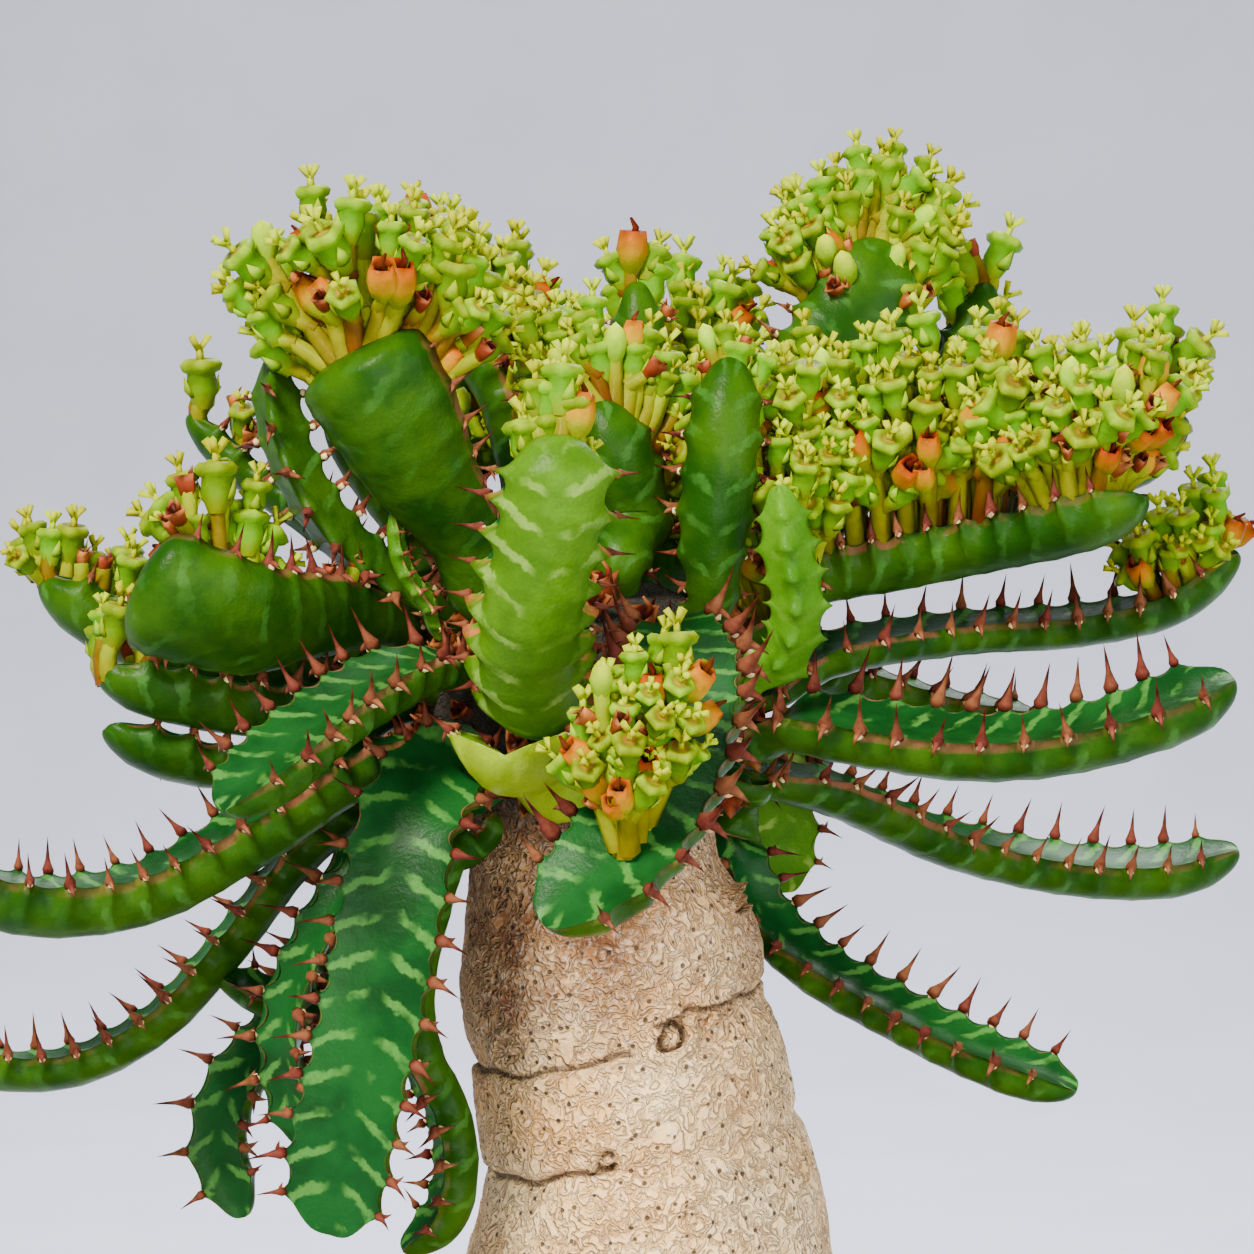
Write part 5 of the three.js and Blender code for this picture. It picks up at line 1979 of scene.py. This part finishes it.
ARMS = (
    Arm("arm_front_1", (-104, 184), 14.5, 9, (0, 0.92, 0.4), ((-12, -27, 185), (-13, -33, 190),
        (-12.5, -38, 197), (-11, -40, 204), (-10, -41, 210), (-10, -41, 215)), lift=-0.1,
        spine=0.62, cut=3.0, pitch=8.0, tip=0.7, age=Age.SUNLIT, heads=(Head(0.86, 0.97, 10,
        fan=0.3, spread=0.5),)),
    Arm("arm_front_2", (-100, 175.5), 15, 9.5, (0, 0.15, 1), ((-13, -24, 179), (-15, -31, 180),
        (-15.5, -37, 181)), lift=0.4, section=Section.CUPPED, is_young=True, age=Age.YOUNG),
    Arm("arm_front_3", (-62, 191), 14.5, 8, (0.05, -0.5, 0.87), ((3.2, -25, 190), (2.8, -34, 185),
        (0.5, -43, 177), (-4.5, -49, 170), (-11, -52, 165)), spine=1.05, heads=(Head(0.73, 0.8,
        20, fan=0.4, spread=0.2, splay=0.26, dry=0.05, size=0.8),)),
    Arm("arm_right_1", (-2, 190), 13, 8, (0, 0.1, 1), ((18, 4, 197), (29, 4, 199.5), (40, 0, 202),
        (48, -4, 204), (56, -8, 207)), heads=(Head(0.16, 0.68, 27, fan=0.4, fall=0.05, dry=0.06,
        size=0.84), Head(0.8, 0.93, 20, fan=1.0, dry=0.3, size=0.85))),
    Arm("arm_right_2", (18, 183), 12, 6, (0, -0.12, 1), ((21, 8, 188), (37, 12, 190.5),
        (51, 12, 191.5), (61, 10, 194), (69, 8, 200)), heads=(Head(0.84, 0.95, 11, fan=0.6,
        dry=0.2, size=0.8),)),
    Arm("arm_right_3", (-28, 180), 14, 8, (0, -0.22, 0.97), ((16, -13, 182), (25, -16, 181),
        (35, -20, 180), (45, -23, 181), (55, -25, 184), (63.5, -25, 188)), spine=0.85),
    Arm("arm_right_4", (6, 175.5), 12.5, 7, (0, -0.14, 0.99), ((21, 6, 172.5), (36, 12, 165.5),
        (51, 14, 162), (62, 13, 162), (70, 12, 164.5))),
    Arm("arm_right_5", (46, 185), 11, 6, (0, -0.1, 1), ((14, 20, 186), (26, 25, 183.5),
        (38, 28, 180), (50, 30, 178))),
    Arm("arm_right_6", (-14, 175), 8.5, 7, (-0.1, -0.22, 0.97), ((10.5, 6, 171), (10.8, 8, 164),
        (13, 7.5, 158), (18.5, 4, 152.5), (28, -1, 147.5), (38, -8, 143.5), (48, -13, 140.5)),
        lift=0.45, neck=0.5, neck_length=34),
    Arm("arm_right_7", (34, 176), 10, 4, (0, -1, 0.15), ((14.5, 16, 174.5), (16, 18.5, 168),
        (16.5, 19.5, 158.5)), lift=0.4, spine=0.6, is_young=True, age=Age.GROWING),
    Arm("arm_left_1", (-128, 187), 12, 7.5, (-0.1, -0.2, 0.97), ((-25, -21, 189), (-30, -27, 187),
        (-36, -34, 183), (-40, -40, 179.5), (-44.5, -45, 176)), spine=0.8),
    Arm("arm_left_2", (-158, 179), 13, 8.5, (0, 0, 1), ((-33, -9, 177), (-45, -14, 169.5),
        (-56, -18, 164), (-66, -22, 163), (-74, -24, 165), (-81, -25, 169)), spine=0.7),
    Arm("arm_left_3", (180, 176), 11, 6, (-0.3, 0, 0.95), ((-31, 2, 173.5), (-41, 2, 165),
        (-49, 0, 155), (-57, -2, 146.5), (-66, -4, 142), (-75, -6, 142), (-82, -8, 145)),
        spine=0.7),
    Arm("arm_left_4", (178, 188), 16, 7, (0.3, 0.9, 0.3), ((-31, -5, 192), (-37, -13, 193),
        (-43, -21, 193), (-50, -26, 195.5), (-56, -27, 198)), lift=0.45, cut=0.55, tip=0.35,
        neck=0.5, neck_length=34, heads=(Head(0.72, 0.84, 19, fan=0.2, spread=0.2, dry=0.2),
        Head(0.16, 0.5, 4, dry=1.0, size=0.7))),
    Arm("arm_left_5", (-162, 185), 10.5, 6.5, (0, 0.4, 0.9), ((-36, -6, 183.5), (-46, -11, 183.5),
        (-54, -15, 185.5), (-61, -18, 188)), lift=0.4, heads=(Head(0.9, 0.98, 8, dry=0.3,
        size=0.8),)),
    Arm("arm_left_6", (178, 182), 9.5, 5, (0, 0.5, 0.85), ((-36, -3, 178.5), (-47, -7, 176.5),
        (-54, -11, 178), (-61, -14, 181.5)), lift=0.3),
    Arm("arm_left_7", (-128, 177), 13.5, 5.5, (-0.15, -0.93, 0.3), ((-22, -20, 178),
        (-26, -26, 173), (-27.5, -29, 165), (-30, -30.5, 152), (-33, -30, 139),
        (-35, -28, 127.5)), lift=0.42),
    Arm("arm_left_8", (-160, 172.5), 7.5, 7, (-0.4, -0.7, 0.5), ((-27, -6, 169.5),
        (-33, -10, 164), (-38, -11, 156), (-41, -10, 147), (-40.5, -8, 139), (-39, -7, 133)),
        lift=0.4, section=Section.THREE_EDGED),
    Arm("arm_left_9", (156, 173.5), 8.5, 6, (-0.3, -0.85, 0.4), ((-27, 10, 170), (-34, 12, 163),
        (-38, 12, 153), (-44, 12, 143), (-49.5, 12, 136), (-51, 12, 129), (-48, 10, 121)),
        lift=0.4),
    Arm("arm_left_10", (178, 169.5), 8, 5, (-0.2, -0.4, 0.9), ((-25.5, 3, 165), (-27, 4, 156),
        (-30, 3, 149), (-36, 1, 146.5), (-43, 0, 148.5), (-50, -2, 152)), lift=0.3),
    Arm("arm_left_11", (-140, 170), 8, 6.5, (-1, -0.25, 0.1), ((-22.5, -13, 167),
        (-25.5, -14, 160), (-27, -13.5, 151), (-26, -12.5, 144), (-23.2, -12, 138),
        (-22.2, -12, 132), (-23.5, -12, 126), (-28, -12, 122)), lift=0.45),
    Arm("arm_left_12", (162, 186), 10, 6, (0.1, 0.6, 0.8), ((-35, 4, 187), (-47, 0, 187),
        (-57, -5, 190), (-64, -7, 194), (-69, -7, 197.5)), lift=0.4, heads=(Head(0.84, 0.98, 8,
        fan=0.8, dry=0.25, size=0.8),)),
    Arm("arm_top_1", (-138, 193.5), 17, 10, (0.3, 0.85, 0.45), ((-21, -14, 202), (-26, -19, 210),
        (-30, -22, 217.5), (-33.5, -23, 223)), lift=0.3, spine=0.6, cut=0.35, tip=0.3, neck=0.42,
        neck_length=34, heads=(Head(0.8, 0.985, 20, fan=0.6, splay=1.0, dry=0.08),)),
    Arm("arm_top_2", (172, 193), 8.5, 6, (0.5, -0.2, 0.85), ((-27, 1, 202), (-32.5, 1, 210),
        (-37, 1, 216.5)), heads=(Head(0.75, 0.96, 9, dry=0.3),)),
    Arm("arm_top_3", (-160, 192), 7.5, 7, (0.1, 1, 0.15), ((-30, -9, 198), (-36, -12, 204),
        (-40, -13, 211), (-42, -12, 218), (-42, -11, 223.5)), lift=0.4,
        section=Section.THREE_EDGED),
    Arm("arm_top_4", (144, 190), 8.5, 5, (0.4, 0.3, 0.9), ((-31, 15, 197), (-40, 17, 203.5),
        (-49, 18, 210), (-55, 18, 216)), heads=(Head(0.85, 0.97, 9, dry=0.4),)),
    Arm("arm_top_5", (-148, 190.5), 3.6, 2.6, (0.9, -0.2, 0.4), ((-24.5, -13, 195),
        (-27.5, -15, 200), (-28.5, -15.5, 206)), is_young=True, is_small=True, age=Age.GROWING),
    Arm("arm_top_6", (150, 196), 10, 7, (0.6, 0, 0.8), ((-14, 8, 204), (-15.5, 11, 213),
        (-18, 13, 220), (-23, 14, 225.5), (-29, 14, 229)), heads=(Head(0.45, 0.98, 15, fan=1.2,
        spread=1.3),)),
    Arm("arm_top_7", (-40, 193), 9.5, 7, (0, 1, 0.05), ((7, -12, 202), (8, -12.5, 212),
        (9, -11, 223)), lift=0.4, cut=0.9, heads=(Head(0.9, 0.98, 5, dry=0.6, size=0.7),)),
    Arm("arm_top_8", (-70, 197), 10.5, 7, (0, 1, 0.1), ((-2, -5, 205), (-4, -7, 212),
        (-6, -7, 218)), lift=0.4, cut=0.9, heads=(Head(0.6, 0.97, 15, fan=1.4, spread=1.3,
        size=0.8),)),
    Arm("arm_top_9", (-44, 186.5), 8, 5.5, (0.1, 1, 0), ((14, -17, 189), (16, -19.5, 195),
        (15, -20, 202), (14, -20, 209)), section=Section.THREE_EDGED, is_young=True,
        is_spineless=True, age=Age.GROWING, pitch=6.4, cut=2.2),
    Arm("arm_top_10", (20, 196.5), 15, 6, (0, 1, 0.1), ((7, 8, 204), (13, 15, 211),
        (19.5, 19, 219), (25, 23, 228), (28.5, 25, 237)), lift=0.4, cut=1.2, neck=0.5,
        neck_length=34, heads=(Head(0.82, 0.98, 15, fan=0.8, spread=1.2, size=0.85),)),
    Arm("arm_top_11", (54, 191), 8, 6, (-0.3, 0.9, 0.2), ((10, 20, 196), (20, 25, 202),
        (31, 30, 213), (39, 33, 224), (42, 34, 232)), lift=0.4, heads=(Head(0.9, 0.98, 9,
        dry=0.3),)),
    Arm("arm_top_12", (92, 196.5), 8, 6, (0, 1, 0), ((-2, 13, 203), (-1.5, 18, 213),
        (-1, 21, 223), (-1.5, 22, 232)), heads=(Head(0.86, 0.97, 9, dry=0.25),
        Head(0.45, 0.62, 12, fan=1.5, spread=2))),
    Arm("arm_top_13", (24, 191), 9.5, 6.5, (-0.2, 0.2, 0.95), ((14, 14, 194.5), (24, 21, 199),
        (36, 26, 203), (48, 29, 206), (60, 31, 210), (66, 31, 215.5)), heads=(Head(0.6, 0.97,
        15),)),
    Arm("arm_back_1", (62, 176), 12.5, 7, (0, 0, 1), ((6, 25, 176.5), (12, 34, 174.5),
        (17, 42, 172.5), (22, 50, 172.5))),
    Arm("arm_back_2", (90, 175), 11.5, 6, (0, 0.9, 0.4), ((-3, 26, 172.5), (1, 35, 166),
        (4, 40, 156), (5, 42, 146), (4, 41, 137)), lift=0.4),
    Arm("arm_back_3", (122, 176), 12, 6.5, (-0.1, 0, 1), ((-20, 24, 177), (-27, 33, 176),
        (-33, 41, 174), (-39, 48, 175))),
    Arm("arm_back_4", (74, 184), 13, 8, (0, 0.1, 1), ((2, 28, 186.5), (7, 38, 188),
        (12, 47, 190.5), (16, 55, 195))),
    Arm("arm_back_5", (106, 184), 13, 8, (0, 0, 1), ((-14, 27, 186), (-18, 37, 186),
        (-23, 46, 187.5), (-28, 54, 191)), heads=(Head(0.8, 0.96, 9),)),
    Arm("arm_back_6", (134, 185), 13, 8, (0, 0, 1), ((-27, 19, 187.5), (-36, 26, 189),
        (-45, 33, 191.5), (-52, 38, 196))),
    Arm("arm_back_7", (82, 191.5), 11, 7, (0, -0.9, 0.4), ((-3, 23, 198), (0, 30, 206),
        (3, 35, 215), (4, 36, 223)), heads=(Head(0.55, 0.97, 15, fan=1.6, spread=1.5),)),
    Arm("arm_back_8", (116, 192.5), 11, 7, (0.5, -0.7, 0.5), ((-19, 20, 199), (-24, 27, 206),
        (-29, 31, 214), (-33, 32, 222)), heads=(Head(0.62, 0.97, 13, fan=1.2),)),
    Arm("arm_back_9", (140, 176.5), 10.5, 6, (-0.3, 0.1, 0.95), ((-28, 18, 176), (-35, 25, 173.5),
        (-40, 31, 170.5), (-45, 37, 169.5))),
    Arm("arm_back_10", (108, 174.5), 11.5, 6, (-0.1, 0.9, 0.4), ((-14, 26, 172.5),
        (-14, 36, 166.5), (-12.5, 43, 157), (-11.5, 45, 144), (-11, 44, 131)), lift=0.4),
)


def main() -> None:
    """Builds the potted plant and its studio."""
    logging.basicConfig(level=logging.INFO, format="%(message)s")
    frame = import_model()
    LOG.info("solid part loaded: %s", bool(frame))
    pot = Pot()
    pot.build()
    Soil().build(pot)
    plant = Plant(ARMS)
    Caudex().build(plant.litter())
    plant.build()
    Studio().build()


if __name__ == "__main__":
    main()
